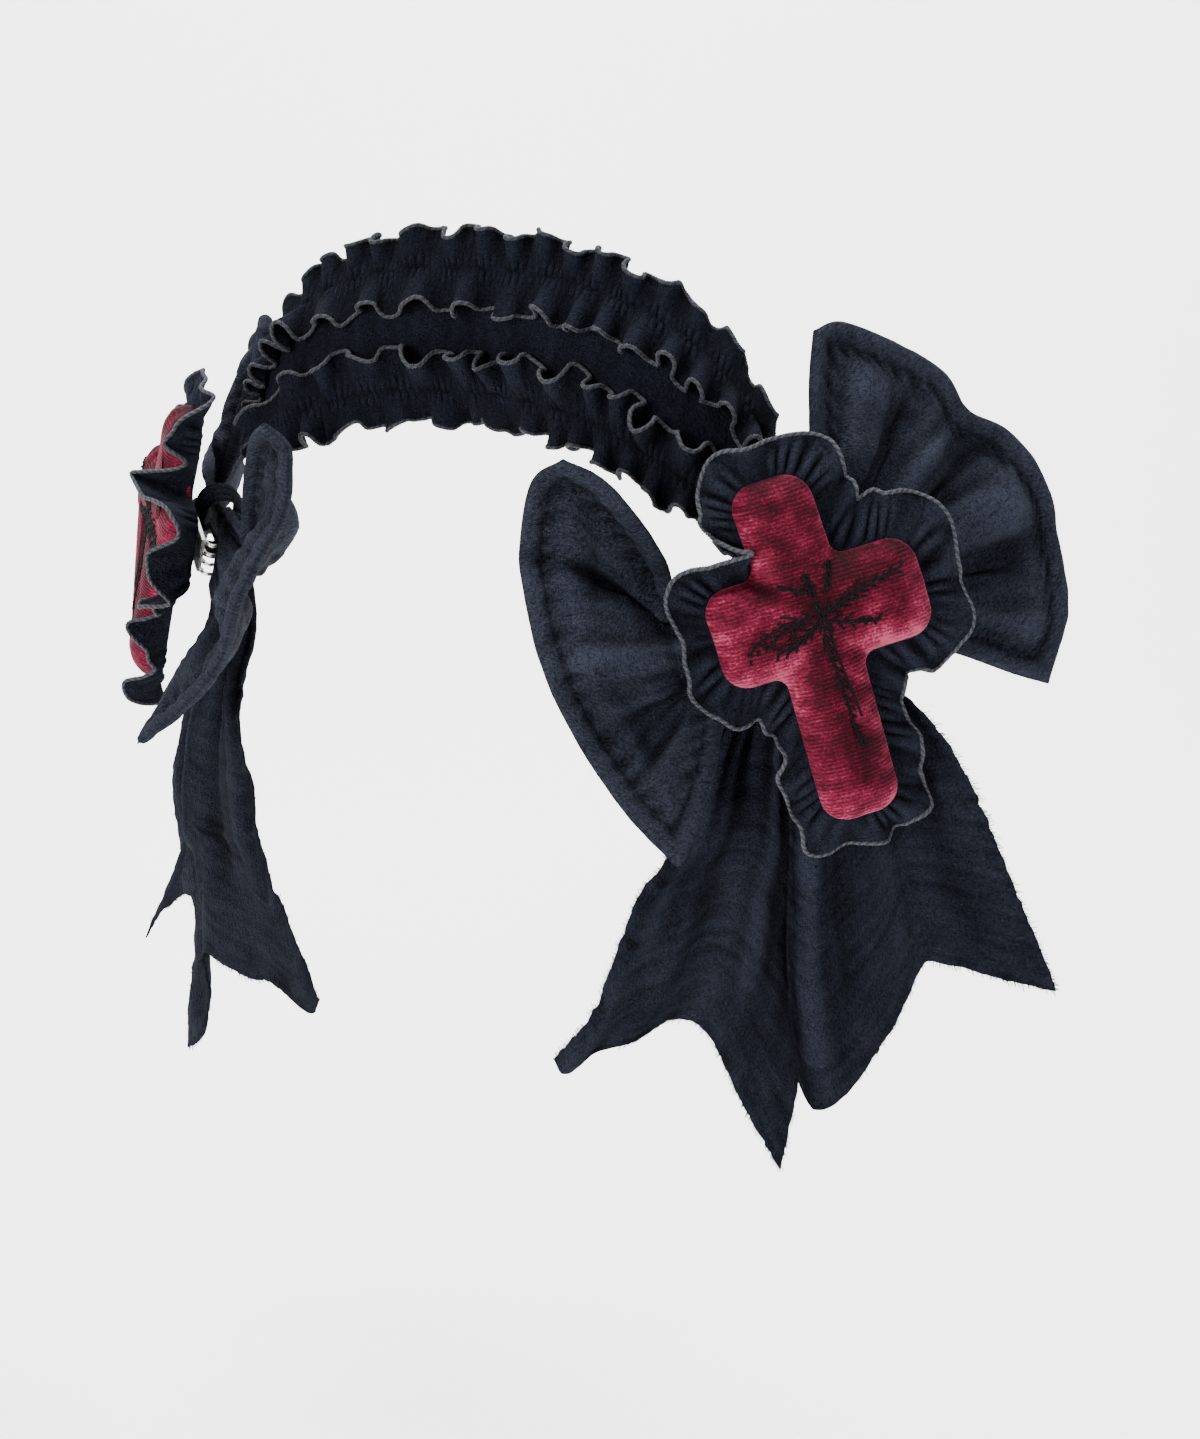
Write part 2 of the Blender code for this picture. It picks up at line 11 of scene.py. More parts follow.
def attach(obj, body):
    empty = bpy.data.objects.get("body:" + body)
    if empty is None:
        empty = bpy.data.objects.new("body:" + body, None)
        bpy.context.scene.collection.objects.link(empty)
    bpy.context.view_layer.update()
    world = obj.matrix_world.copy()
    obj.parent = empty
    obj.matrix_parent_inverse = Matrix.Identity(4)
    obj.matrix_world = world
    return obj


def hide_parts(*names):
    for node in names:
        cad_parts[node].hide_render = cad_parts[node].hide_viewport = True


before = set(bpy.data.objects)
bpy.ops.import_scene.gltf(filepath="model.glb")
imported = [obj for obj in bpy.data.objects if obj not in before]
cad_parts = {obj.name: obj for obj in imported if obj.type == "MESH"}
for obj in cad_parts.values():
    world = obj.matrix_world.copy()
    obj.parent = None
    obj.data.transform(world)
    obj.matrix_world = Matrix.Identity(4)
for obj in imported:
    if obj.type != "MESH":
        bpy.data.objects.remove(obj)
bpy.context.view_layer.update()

MM = 0.001
HEAD_SEAT = np.array([0.0, 6.4, 0.0])

# ------------------------------------------------------------ shape tables, mm
BAND_CROWN = 2.5
BAND_HALF = 0.74
RUFFLE_SEAM = 0.65
RUFFLE_HALF = 0.35
PINCH_HALF = 6.2
KNOT_HALF_LENGTH = 5.0
KNOT_INNER = (5.2, 9.8)
KNOT_THICK = 2.4
PAD_STEM, PAD_ARM = 11.4, 14.5
PAD_TOP, PAD_BOTTOM, PAD_FRONT, PAD_BACK = 40.3, 59.9, 28.2, 33.8
PAD_ROUND, PAD_CORNER, PAD_LEAN = 7.5, 4.0, 0.06
FRILL_WIDTH = 12.0
FRILL_SPREAD = 9.0

FRILL_REACH = [
    # back, up, share of the full width that the frill reaches there
    (-12.0, 30.0, 0.66),
    (0.0, 41.0, 0.85),
    (12.0, 30.0, 1.10),
    (-29.0, 2.0, 0.90),
    (-24.0, -14.0, 0.95),
    (34.0, 2.0, 1.10),
    (24.0, -15.0, 0.95),
    (12.0, -32.0, 0.80),
    (-12.0, -32.0, 0.62),
    (-11.0, -56.0, 0.85),
    (11.0, -56.0, 0.85),
    (0.0, -60.0, 0.80),
]


def unit(v):
    v = np.asarray(v, float)
    return v / np.linalg.norm(v)


CROSS_AT = np.array([117.5, -8.8, -68.0])
CROSS_UP = unit([-0.309, -0.032, 0.950])
CROSS_OUT = np.array([0.604, -0.778, 0.171])
CROSS_OUT = unit(CROSS_OUT - CROSS_UP * (CROSS_OUT @ CROSS_UP))
CROSS_BACK = np.cross(CROSS_OUT, CROSS_UP) * -1.0
KNOT_AT = CROSS_AT - CROSS_OUT * 14.0

# TABLES BEGIN: columns x, y, z; x is outwards on the wearer's left
BAND_ROWS = [
    # fx,    fy,    fz,    bx,   by,    bz
    (0.0, 9.0, -27.0, 0.0, 6.0, 31.0),
    (22.0, 3.0, -27.5, 24.0, 7.0, 29.5),
    (42.0, -2.0, -30.5, 46.0, 8.5, 24.0),
    (58.0, -5.0, -36.0, 64.0, 11.0, 16.0),
    (70.0, -6.0, -42.0, 77.0, 14.0, 5.0),
    (79.0, -4.0, -47.0, 86.0, 16.0, -8.0),
    (84.5, 0.5, -54.0, 92.0, 18.0, -22.0),
    (87.5, 5.0, -62.0, 94.0, 20.0, -36.0),
    (89.5, 9.0, -69.0, 95.5, 21.0, -48.0),
]
FRONT_RIM = [
    (53.5, -37.0, -25.0),
    (43.5, -38.0, -32.5),
    (42.5, -43.0, -51.0),
    (48.0, -49.0, -63.5),
    (55.5, -53.0, -80.5),
    (66.0, -51.0, -102.0),
    (80.5, -49.0, -121.0),
    (96.5, -48.0, -134.0),
]
REAR_RIM = [
    (101.0, 24.0, 6.5),
    (106.5, 32.0, 8.5),
    (119.0, 44.0, 1.5),
    (130.0, 54.0, -7.0),
    (136.0, 60.0, -18.5),
    (147.0, 68.0, -25.5),
    (156.5, 74.0, -39.5),
    (163.0, 75.0, -60.0),
    (169.0, 68.0, -78.0),
    (168.5, 56.0, -98.5),
]
FRONT_TOP = [
    (96.0, -8.0, -62.5),
    (81.5, -18.0, -65.5),
    (77.5, -20.5, -54.5),
    (71.5, -25.0, -42.5),
    (63.5, -31.0, -31.0),
]
FRONT_BOTTOM = [
    (103.5, -7.0, -86.5),
    (96.5, -18.0, -101.0),
    (96.5, -26.0, -113.0),
    (96.0, -33.5, -122.5),
    (96.5, -41.5, -130.0),
]
REAR_TOP = [
    (107.5, 9.0, -46.0),
    (104.5, 16.0, -24.0),
    (102.0, 20.0, -7.0),
]
REAR_BOTTOM = [
    (121.0, 10.0, -78.0),
    (133.0, 19.0, -79.0),
    (148.0, 35.0, -87.0),
    (160.0, 48.0, -94.5),
]
FRONT_FOLDS = [
    # knot, rim, half, rise, start, end
    (0.30, 0.24, 0.11, -7.0, 0.25, 0.86),
    (0.52, 0.50, 0.12, 3.5, 0.30, 0.95),
    (0.72, 0.74, 0.08, -3.5, 0.35, 0.88),
    (0.88, 0.90, 0.08, 2.0, 0.35, 0.98),
]
REAR_FOLDS = [
    (0.15, 0.10, 0.08, 3.0, 0.20, 0.90),
    (0.30, 0.24, 0.08, -5.0, 0.25, 0.90),
    (0.42, 0.36, 0.06, 3.5, 0.30, 0.85),
    (0.50, 0.47, 0.06, -5.0, 0.35, 1.00),
    (0.62, 0.60, 0.08, 3.5, 0.25, 0.92),
    (0.75, 0.76, 0.07, -4.0, 0.30, 0.88),
    (0.88, 0.90, 0.08, 2.5, 0.30, 0.95),
]
LEFT_FRONT_FORE = [
    (102.0, 9.0, -83.0),
    (92.5, -3.0, -99.0),
    (85.0, -11.0, -120.0),
    (81.0, -20.0, -145.5),
    (72.0, -24.5, -161.0),
    (63.0, -29.0, -188.0),
    (57.0, -31.0, -203.0),
    (46.0, -33.0, -218.0),
]
LEFT_FRONT_HEM = [
    (46.0, -33.0, -218.0),
    (51.0, -33.0, -222.0),
    (60.0, -30.0, -213.5),
    (71.5, -27.5, -208.0),
    (84.0, -25.0, -198.0),
    (95.0, -23.0, -200.0),
    (105.0, -20.0, -221.5),
    (117.5, -15.0, -246.0),
]
LEFT_FRONT_AFT = [
    (107.0, 12.5, -84.0),
    (111.0, 9.0, -106.0),
    (114.5, 6.0, -140.0),
    (117.5, 1.0, -175.0),
    (119.5, -4.0, -202.0),
    (119.0, -9.5, -226.0),
    (117.5, -15.0, -246.0),
]
LEFT_BACK_FORE = [
    (110.0, 6.0, -86.0),
    (110.5, -1.0, -112.0),
    (113.0, -7.0, -146.5),
    (117.0, -14.0, -180.0),
    (123.5, -17.0, -213.0),
]
LEFT_BACK_HEM = [
    (123.5, -17.0, -213.0),
    (127.5, -15.0, -221.0),
    (133.0, -13.0, -220.0),
    (137.5, -7.0, -214.0),
    (146.0, 0.0, -195.5),
    (152.0, 5.0, -176.5),
    (156.5, 8.0, -174.5),
    (174.5, 18.0, -180.0),
    (188.0, 25.0, -183.5),
]
LEFT_BACK_AFT = [
    (116.0, 11.0, -86.0),
    (133.0, 17.0, -94.0),
    (146.0, 19.0, -104.0),
    (157.5, 20.0, -119.0),
    (166.0, 21.0, -136.0),
    (175.0, 23.0, -156.0),
    (183.5, 24.5, -174.0),
    (188.0, 25.0, -183.5),
]
RIGHT_FRONT_FORE = [
    (102.0, 9.0, -83.0),
    (92.5, -3.0, -99.0),
    (88.0, -24.0, -124.0),
    (83.5, -27.0, -150.0),
    (77.5, -29.0, -166.5),
    (68.0, -30.0, -184.5),
    (55.0, -32.0, -205.5),
    (47.0, -33.0, -222.0),
]
RIGHT_FRONT_HEM = [
    (47.0, -33.0, -222.0),
    (51.5, -33.0, -228.5),
    (67.0, -31.0, -222.5),
    (78.5, -30.0, -223.0),
    (95.0, -28.0, -222.0),
    (102.5, -26.0, -221.0),
    (105.0, -24.0, -235.5),
    (107.5, -22.0, -248.5),
    (111.5, -21.0, -259.0),
    (122.5, -19.0, -268.5),
]
RIGHT_FRONT_AFT = [
    (107.0, 12.5, -84.0),
    (111.0, 9.0, -106.0),
    (132.0, -2.0, -202.0),
    (125.5, -6.0, -214.0),
    (123.5, -10.0, -232.0),
    (123.0, -14.0, -245.5),
    (122.5, -19.0, -268.5),
]
RIGHT_BACK_FORE = [
    (110.0, 14.0, -86.0),
    (129.5, 11.0, -141.5),
    (135.5, 8.0, -173.0),
    (134.5, 5.0, -204.0),
    (131.5, 4.0, -224.5),
]
RIGHT_BACK_HEM = [
    (131.5, 4.0, -224.5),
    (136.5, 8.0, -221.5),
    (143.5, 11.0, -221.0),
    (159.0, 13.0, -233.0),
    (174.5, 15.0, -249.5),
]
RIGHT_BACK_AFT = [
    (116.0, 17.0, -86.0),
    (131.0, 16.0, -120.0),
    (152.0, 24.0, -157.5),
    (164.5, 28.0, -194.0),
    (158.5, 24.0, -222.5),
    (167.5, 19.0, -235.0),
    (174.5, 15.0, -249.5),
]
TAIL_FRONT_FOLDS = [
    (0.18, 0.12, 0.07, 2.5, 0.05, 0.75),
    (0.40, 0.36, 0.08, -3.0, 0.05, 0.85),
    (0.62, 0.60, 0.07, 3.0, 0.05, 0.90),
    (0.82, 0.84, 0.06, -2.0, 0.05, 0.80),
]
TAIL_BACK_FOLDS = [
    (0.12, 0.10, 0.06, 2.5, 0.05, 0.95),
    (0.32, 0.28, 0.08, -3.0, 0.10, 0.90),
    (0.55, 0.52, 0.08, 2.5, 0.10, 0.95),
    (0.78, 0.80, 0.08, -2.5, 0.10, 0.90),
]
TAILS = {
    "left": (
        (LEFT_FRONT_FORE, LEFT_FRONT_HEM, LEFT_FRONT_AFT),
        (LEFT_BACK_FORE, LEFT_BACK_HEM, LEFT_BACK_AFT),
    ),
    "right": (
        (RIGHT_FRONT_FORE, RIGHT_FRONT_HEM, RIGHT_FRONT_AFT),
        (RIGHT_BACK_FORE, RIGHT_BACK_HEM, RIGHT_BACK_AFT),
    ),
}
# TABLES END


# ------------------------------------------------------------------- helpers
def smooth(x, low, high):
    x = np.clip((np.asarray(x, float) - low) / (high - low), 0.0, 1.0)
    return x * x * (3.0 - 2.0 * x)


def along(rows, t):
    """Points at shares t of a smooth curve through the rows, by length."""
    pts = np.asarray(rows, float)
    t = np.atleast_1d(np.asarray(t, float))
    steps = np.concatenate([[0.0], np.cumsum(np.linalg.norm(np.diff(pts, axis=0), axis=1))])
    want = np.clip(t, 0, 1) * steps[-1]
    k = np.clip(np.searchsorted(steps, want, side="left") - 1, 0, len(pts) - 2)
    f = ((want - steps[k]) / (steps[k + 1] - steps[k]))[:, None]
    ext = np.vstack([pts[0] * 2 - pts[1], pts, pts[-1] * 2 - pts[-2]])
    p0, p1, p2, p3 = ext[k], ext[k + 1], ext[k + 2], ext[k + 3]
    m1, m2 = (p2 - p0) * 0.5, (p3 - p1) * 0.5
    f2, f3 = f * f, f * f * f
    return p1 * (2 * f3 - 3 * f2 + 1) + m1 * (f3 - 2 * f2 + f) + p2 * (3 * f2 - 2 * f3) + m2 * (f3 - f2)


def patch(start, end, first, last, u, v):
    """Grid of points (u down, v across) of the surface between four curves."""
    s, e = along(start, v)[None], along(end, v)[None]
    a, b = along(first, u)[:, None], along(last, u)[:, None]
    U, V = u[:, None, None], v[None, :, None]
    c00, c01 = np.asarray(start[0], float), np.asarray(start[-1], float)
    c10, c11 = np.asarray(end[0], float), np.asarray(end[-1], float)
    flat = (c00 * (1 - V) + c01 * V) * (1 - U) + (c10 * (1 - V) + c11 * V) * U
    return s * (1 - U) + e * U + a * (1 - V) + b * V - flat


def fold_rise(folds, U, V):
    rise = np.zeros(np.broadcast(U, V).shape)
    for at_knot, at_end, half, height, start, end in folds:
        middle = at_knot + (at_end - at_knot) * U
        x = (V - middle) / half
        fade = smooth(U, start * 0.3, start + 0.2) * (1 - smooth(U, end - 0.15, end + 0.02))
        rise = rise + height * np.exp(-x * x) * fade
    return rise


def grid_normals(P, closed=False):
    """Unit normals of a grid of points."""
    if closed:
        Q = np.concatenate([P[-2:], P, P[:2]], axis=0)
        du = np.gradient(Q, axis=0)[2:-2]
    else:
        du = np.gradient(P, axis=0)
    dv = np.gradient(P, axis=1)
    n = np.cross(du, dv)
    return n / np.maximum(np.linalg.norm(n, axis=2, keepdims=True), 1e-9)


def wrinkle(X, Y, seed, stretch=(1.0, 1.0), octaves=2):
    """Smooth noise, about -1 to 1, over arrays of cloth coordinates in mm."""
    out = np.empty(X.shape)
    flat_x, flat_y = X.ravel() / stretch[0], Y.ravel() / stretch[1]
    res = out.ravel()
    for i in range(res.size):
        a = noise.noise(Vector((flat_x[i], flat_y[i], seed)))
        if octaves > 1:
            a += 0.5 * noise.noise(Vector((flat_x[i] * 2.1, flat_y[i] * 2.1, seed + 9.3)))
        res[i] = a
    return res.reshape(X.shape)


def cloth_coords(P, closed=False):
    """Distances over the cloth in mm: down the rows and across them."""
    du = np.linalg.norm(np.diff(P, axis=0), axis=2)
    dv = np.linalg.norm(np.diff(P, axis=1), axis=2)
    a = np.zeros(P.shape[:2])
    b = np.zeros(P.shape[:2])
    a[1:] = np.cumsum(du, axis=0)
    b[:, 1:] = np.cumsum(dv, axis=1)
    # one shared scale each way keeps threads straight
    a = np.broadcast_to(a.mean(axis=1, keepdims=True), a.shape)
    mid = b[:, b.shape[1] // 2][:, None]
    return np.ascontiguousarray(a), b - mid


def link(name, bm):
    mesh = bpy.data.meshes.new(name)
    bm.to_mesh(mesh)
    bm.free()
    mesh.polygons.foreach_set("use_smooth", [True] * len(mesh.polygons))
    obj = bpy.data.objects.new(name, mesh)
    bpy.context.scene.collection.objects.link(obj)
    return obj


def place(P, side):
    """Left side table millimetres to metres in the CAD frame, mirrored for the right."""
    Q = (np.asarray(P, float) - HEAD_SEAT) * MM
    if side < 0:
        Q = Q * np.array([-1.0, 1.0, 1.0])
    return Q


def blurred(P, reach, closed):
    """Moving average of a grid of points, reach cells each way."""
    for axis in (0, 1):
        r = min(reach, P.shape[axis] // 2 - 1)
        if r < 1:
            continue
        pads = [(0, 0)] * 3
        pads[axis] = (r, r)
        Q = np.pad(P, pads, mode="wrap") if closed and axis == 0 else 2 * np.pad(P, pads, mode="edge") - np.pad(P, pads, mode="reflect")
        total = np.cumsum(Q, axis=axis)
        zero = np.zeros_like(np.take(total, [0], axis=axis))
        total = np.concatenate([zero, total], axis=axis)
        size = P.shape[axis]
        high = np.take(total, np.arange(size) + 2 * r + 1, axis=axis)
        low = np.take(total, np.arange(size), axis=axis)
        P = (high - low) / (2 * r + 1)
    return P


def painted_fold_shade(P, N, closed=False, painted_shade_depth=1.0):
    """How far each point stands above the cloth around it: 0.5 level, 1 ridge, 0 valley. The cloth colour uses it as
    painted shade in valleys and painted light on ridges.
    """
    step = np.linalg.norm(np.diff(P, axis=1), axis=2).mean()
    out = np.zeros(P.shape[:2])
    for reach, gain in ((2.2, 0.55), (6.5, 0.20)):
        cells = max(int(round(reach / step)), 1)
        out += gain * painted_shade_depth * np.sum((P - blurred(P, cells, closed)) * N, axis=2)
    return np.clip(0.5 + out, 0, 1)


def shell(name, front, back, uvs, mat, closed=False, side=1, painted_shade_depth=1.0):
    """Closed cloth from a front and a back grid, joined round the rim."""
    n, m = front.shape[:2]
    F, B = place(front.reshape(-1, 3), side), place(back.reshape(-1, 3), side)
    verts = np.vstack([F, B])
    faces, uv = [], []
    A, C = uvs
    last = n if closed else n - 1
    off = n * m

    def tex(i, j, wrap):
        i2 = i % n
        extra = (A[-1, j] - A[0, j]) * n / (n - 1) if (wrap and i >= n) else 0.0
        return ((A[i2, j] + extra) * MM, C[i2, j] * MM)

    for i in range(last):
        i1 = (i + 1) % n
        for j in range(m - 1):
            a, b, c, d = i * m + j, i * m + j + 1, i1 * m + j + 1, i1 * m + j
            t = [tex(i, j, closed), tex(i, j + 1, closed), tex(i + 1, j + 1, closed), tex(i + 1, j, closed)]
            faces.append((a, b, c, d))
            uv.extend(t)
            faces.append((a + off, d + off, c + off, b + off))
            uv.extend([t[0], t[3], t[2], t[1]])
    rim = []
    if closed:
        for j in (0, m - 1):
            ring = [(i * m + j, ((i + 1) % n) * m + j) for i in range(n)]
            rim += ring if j == m - 1 else [(b, a) for a, b in ring]
    else:
        loop = [i * m for i in range(n)] + [(n - 1) * m + j for j in range(1, m)]
        loop += [i * m + m - 1 for i in range(n - 2, -1, -1)] + [j for j in range(m - 2, 0, -1)]
        rim = [(loop[k], loop[(k + 1) % len(loop)]) for k in range(len(loop))]
    for a, b in rim:
        faces.append((a, b, b + off, a + off))
        ia, ja, ib, jb = a // m, a % m, b // m, b % m
        ta, tb = (A[ia, ja] * MM, C[ia, ja] * MM), (A[ib, jb] * MM, C[ib, jb] * MM)
        uv.extend([ta, tb, (tb[0], tb[1] + 0.0006), (ta[0], ta[1] + 0.0006)])
    mesh = bpy.data.meshes.new(name)
    mesh.from_pydata(verts.tolist(), [], faces)
    layer = mesh.uv_layers.new(name="cloth")
    layer.data.foreach_set("uv", np.array(uv, float).ravel())
    mesh.update()
    bm = bmesh.new()
    bm.from_mesh(mesh)
    bm.normal_update()
    bmesh.ops.recalc_face_normals(bm, faces=bm.faces)
    bm.to_mesh(mesh)
    bm.free()
    # painted shade: a per-point attribute that darkens the cloth colour in folds and valleys and lightens ridges
    across = front - back
    across /= np.maximum(np.linalg.norm(across, axis=2, keepdims=True), 1e-9)
    values = np.concatenate([painted_fold_shade(front, across, closed, painted_shade_depth).ravel(), painted_fold_shade(back, -across, closed, painted_shade_depth).ravel()])
    level = mesh.attributes.new("painted_fold_shade", "FLOAT", "POINT")
    level.data.foreach_set("value", values)
    mesh.polygons.foreach_set("use_smooth", [True] * len(mesh.polygons))
    obj = bpy.data.objects.new(name, mesh)
    bpy.context.scene.collection.objects.link(obj)
    mesh.materials.append(mat)
    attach(obj, "root")
    return obj


def thread(name, lines, mat, radius=0.75, bead=0.16, pitch=1.1, sides=6, flat=1.0, closed=False, side=1):
    """Overlocked edges: beaded tubes along polylines in table millimetres."""
    verts, faces, uv = [], [], []
    for line in lines:
        P = np.asarray(line, float)
        if closed:
            P = np.vstack([P, P[:1]])
        d = np.concatenate([[0.0], np.cumsum(np.linalg.norm(np.diff(P, axis=0), axis=1))])
        count = max(int(d[-1] / (pitch / 2)), 4)
        s = np.linspace(0, d[-1], count + (0 if closed else 1), endpoint=not closed)
        Q = np.stack([np.interp(s, d, P[:, k]) for k in range(3)], axis=1)
        if closed:
            T = np.roll(Q, -1, axis=0) - np.roll(Q, 1, axis=0)
        else:
            T = np.gradient(Q, axis=0)
        T /= np.maximum(np.linalg.norm(T, axis=1, keepdims=True), 1e-9)
        n = len(Q)
        ref = np.array([0.3, 0.5, 0.81])
        X = np.empty_like(Q)
        prev = ref - T[0] * (ref @ T[0])
        prev /= np.linalg.norm(prev)
        for i in range(n):
            prev = prev - T[i] * (prev @ T[i])
            prev /= max(np.linalg.norm(prev), 1e-9)
            X[i] = prev
        Y = np.cross(T, X)
        base = len(verts)
        ang = np.arange(sides) * 2 * math.pi / sides
        for i in range(n):
            r = radius + (bead if i % 2 else -bead)
            if not closed and i in (0, n - 1):
                r *= 0.55
            turn = ang + (0.35 if i % 2 else 0.0)
            ring = Q[i] + (X[i][None] * np.cos(turn)[:, None] + Y[i][None] * np.sin(turn)[:, None] * flat) * r
            verts.extend(place(ring, side).tolist())
        for i in range(n if closed else n - 1):
            i1 = (i + 1) % n
            for k in range(sides):
                k1 = (k + 1) % sides
                faces.append((base + i * sides + k, base + i * sides + k1, base + i1 * sides + k1, base + i1 * sides + k))
                uv.extend([(s[i] * MM, k / sides * 0.004), (s[i] * MM, (k + 1) / sides * 0.004),
                           (s[i] * MM + pitch / 2 * MM, (k + 1) / sides * 0.004), (s[i] * MM + pitch / 2 * MM, k / sides * 0.004)])
        if not closed:
            faces.append(tuple(base + k for k in reversed(range(sides))))
            faces.append(tuple(base + (n - 1) * sides + k for k in range(sides)))
            uv.extend([(0.0, 0.0)] * (2 * sides))
    mesh = bpy.data.meshes.new(name)
    mesh.from_pydata(verts, [], faces)
    layer = mesh.uv_layers.new(name="cloth")
    layer.data.foreach_set("uv", np.array(uv, float).ravel())
    mesh.update()
    bm = bmesh.new()
    bm.from_mesh(mesh)
    bm.normal_update()
    bmesh.ops.recalc_face_normals(bm, faces=bm.faces)
    bm.to_mesh(mesh)
    bm.free()
    mesh.polygons.foreach_set("use_smooth", [True] * len(mesh.polygons))
    obj = bpy.data.objects.new(name, mesh)
    bpy.context.scene.collection.objects.link(obj)
    mesh.materials.append(mat)
    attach(obj, "root")
    return obj


# ----------------------------------------------------------------- materials
class Mat:
    """Small wrapper for building node materials."""

    def __init__(self, name):
        self.mat = bpy.data.materials.new(name)
        self.mat.use_nodes = True
        self.nt = self.mat.node_tree
        self.bsdf = self.nt.nodes["Principled BSDF"]

    def add(self, kind, **settings):
        node = self.nt.nodes.new(kind)
        for key, value in settings.items():
            if key.startswith("in_"):
                node.inputs[key[3:].replace("_", " ")].default_value = value
            else:
                setattr(node, key, value)
        return node

    def join(self, a, out, b, into):
        self.nt.links.new(a.outputs[out], b.inputs[into])

    def coords(self, scale=(1.0, 1.0, 1.0), uv=True):
        tex = self.add("ShaderNodeTexCoord")
        mapping = self.add("ShaderNodeMapping")
        mapping.inputs["Scale"].default_value = scale
        self.join(tex, "UV" if uv else "Object", mapping, "Vector")
        return mapping

    def noise(self, source, scale, detail=2.0, rough=0.5):
        node = self.add("ShaderNodeTexNoise")
        node.inputs["Scale"].default_value = scale
        node.inputs["Detail"].default_value = detail
        node.inputs["Roughness"].default_value = rough
        self.join(source, 0, node, "Vector")
        return node

    def wave(self, source, scale, direction, distort=0.0, profile="SIN"):
        node = self.add("ShaderNodeTexWave", wave_type="BANDS", bands_direction=direction, wave_profile=profile)
        node.inputs["Scale"].default_value = scale
        node.inputs["Distortion"].default_value = distort
        node.inputs["Detail"].default_value = 1.0
        self.join(source, 0, node, "Vector")
        return node

    def math(self, op, a, b=None, value=None):
        node = self.add("ShaderNodeMath", operation=op)
        self.nt.links.new(a, node.inputs[0])
        if b is not None:
            self.nt.links.new(b, node.inputs[1])
        elif value is not None:
            node.inputs[1].default_value = value
        return node.outputs[0]

    def ramp(self, source, stops):
        node = self.add("ShaderNodeValToRGB")
        el = node.color_ramp.elements
        while len(el) < len(stops):
            el.new(0.5)
        for e, (pos, col) in zip(el, stops):
            e.position = pos
            e.color = (*col, 1.0)
        self.nt.links.new(source, node.inputs[0])
        return node

    def bump(self, height, strength, distance, normal=None):
        node = self.add("ShaderNodeBump")
        node.inputs["Strength"].default_value = strength
        node.inputs["Distance"].default_value = distance
        self.nt.links.new(height, node.inputs["Height"])
        if normal is not None:
            self.nt.links.new(normal, node.inputs["Normal"])
        return node.outputs["Normal"]


def cotton(name, dark, light, thread_mm=0.62, crinkle=1.0, sheen=0.35):
    """Crinkled double gauze: threads both ways, crinkles, lint, painted fold shade and soft sheen."""
    m = Mat(name)
    mm = m.coords((1000.0, 1000.0, 1000.0))
    k = 2 * math.pi / 20.0
    warp = m.wave(mm, 1.0 / thread_mm / 3.183 * 1.0, "X", 0.6)
    weft = m.wave(mm, 1.0 / thread_mm / 3.183 * 1.0, "Y", 0.6)
    weave = m.math("MULTIPLY", warp.outputs["Fac"], weft.outputs["Fac"])
    slub = m.noise(m.coords((1400.0, 260.0, 1.0)), 1.0, 2.0)
    crink = m.noise(m.coords((170.0, 460.0, 1.0)), 1.0, 4.0, 0.6)
    pebble = m.noise(m.coords((1050.0, 1050.0, 1.0)), 1.0, 2.0, 0.6)
    patchy = m.noise(m.coords((26.0, 26.0, 26.0), uv=False), 1.0, 3.0)
    fleck = m.noise(m.coords((2200.0, 2200.0, 1.0)), 1.0, 1.0)
    tone = m.math("ADD", m.math("MULTIPLY", weave, value=0.16), m.math("MULTIPLY", slub.outputs["Fac"], value=0.10))
    tone = m.math("ADD", tone, m.math("MULTIPLY", patchy.outputs["Fac"], value=0.20))
    tone = m.math("ADD", tone, m.math("MULTIPLY", crink.outputs["Fac"], value=0.18))
    tone = m.math("ADD", tone, m.math("MULTIPLY", pebble.outputs["Fac"], value=1.10))
    tone = m.math("ADD", tone, value=-0.27)
    # painted shade: the per-point fold-shade attribute darkens the colour in folds and valleys and lightens ridges
    level = m.add("ShaderNodeAttribute", attribute_name="painted_fold_shade")
    tone = m.math("ADD", m.math("MULTIPLY", tone, value=0.62), m.math("MULTIPLY", level.outputs["Fac"], value=0.42))
    ramp = m.ramp(tone, [(0.30, dark), (0.50, tuple(0.62 * a + 0.38 * b for a, b in zip(dark, light))), (0.74, light)])
    specks = m.ramp(fleck.outputs["Fac"], [(0.72, (0, 0, 0)), (0.80, (1, 1, 1))])
    mix = m.add("ShaderNodeMix", data_type="RGBA")
    m.nt.links.new(specks.outputs["Color"], mix.inputs["Factor"])
    m.nt.links.new(ramp.outputs["Color"], mix.inputs["A"])
    mix.inputs["B"].default_value = (light[0] * 2.2, light[1] * 2.2, light[2] * 2.1, 1.0)
    m.nt.links.new(mix.outputs["Result"], m.bsdf.inputs["Base Color"])
    rough = m.ramp(slub.outputs["Fac"], [(0.2, (0.80,) * 3), (0.8, (0.97,) * 3)])
    m.nt.links.new(rough.outputs["Color"], m.bsdf.inputs["Roughness"])
    n1 = m.bump(crink.outputs["Fac"], 0.85 * crinkle, 0.0026)
    n2 = m.bump(pebble.outputs["Fac"], 1.0, 0.0020, n1)
    n3 = m.bump(weave, 0.5, 0.00022, n2)
    m.nt.links.new(n3, m.bsdf.inputs["Normal"])
    m.bsdf.inputs["Specular IOR Level"].default_value = 0.05
    m.bsdf.inputs["Sheen Weight"].default_value = sheen
    m.bsdf.inputs["Sheen Roughness"].default_value = 0.45
    m.bsdf.inputs["Sheen Tint"].default_value = (0.62, 0.68, 0.85, 1.0)
    return m.mat


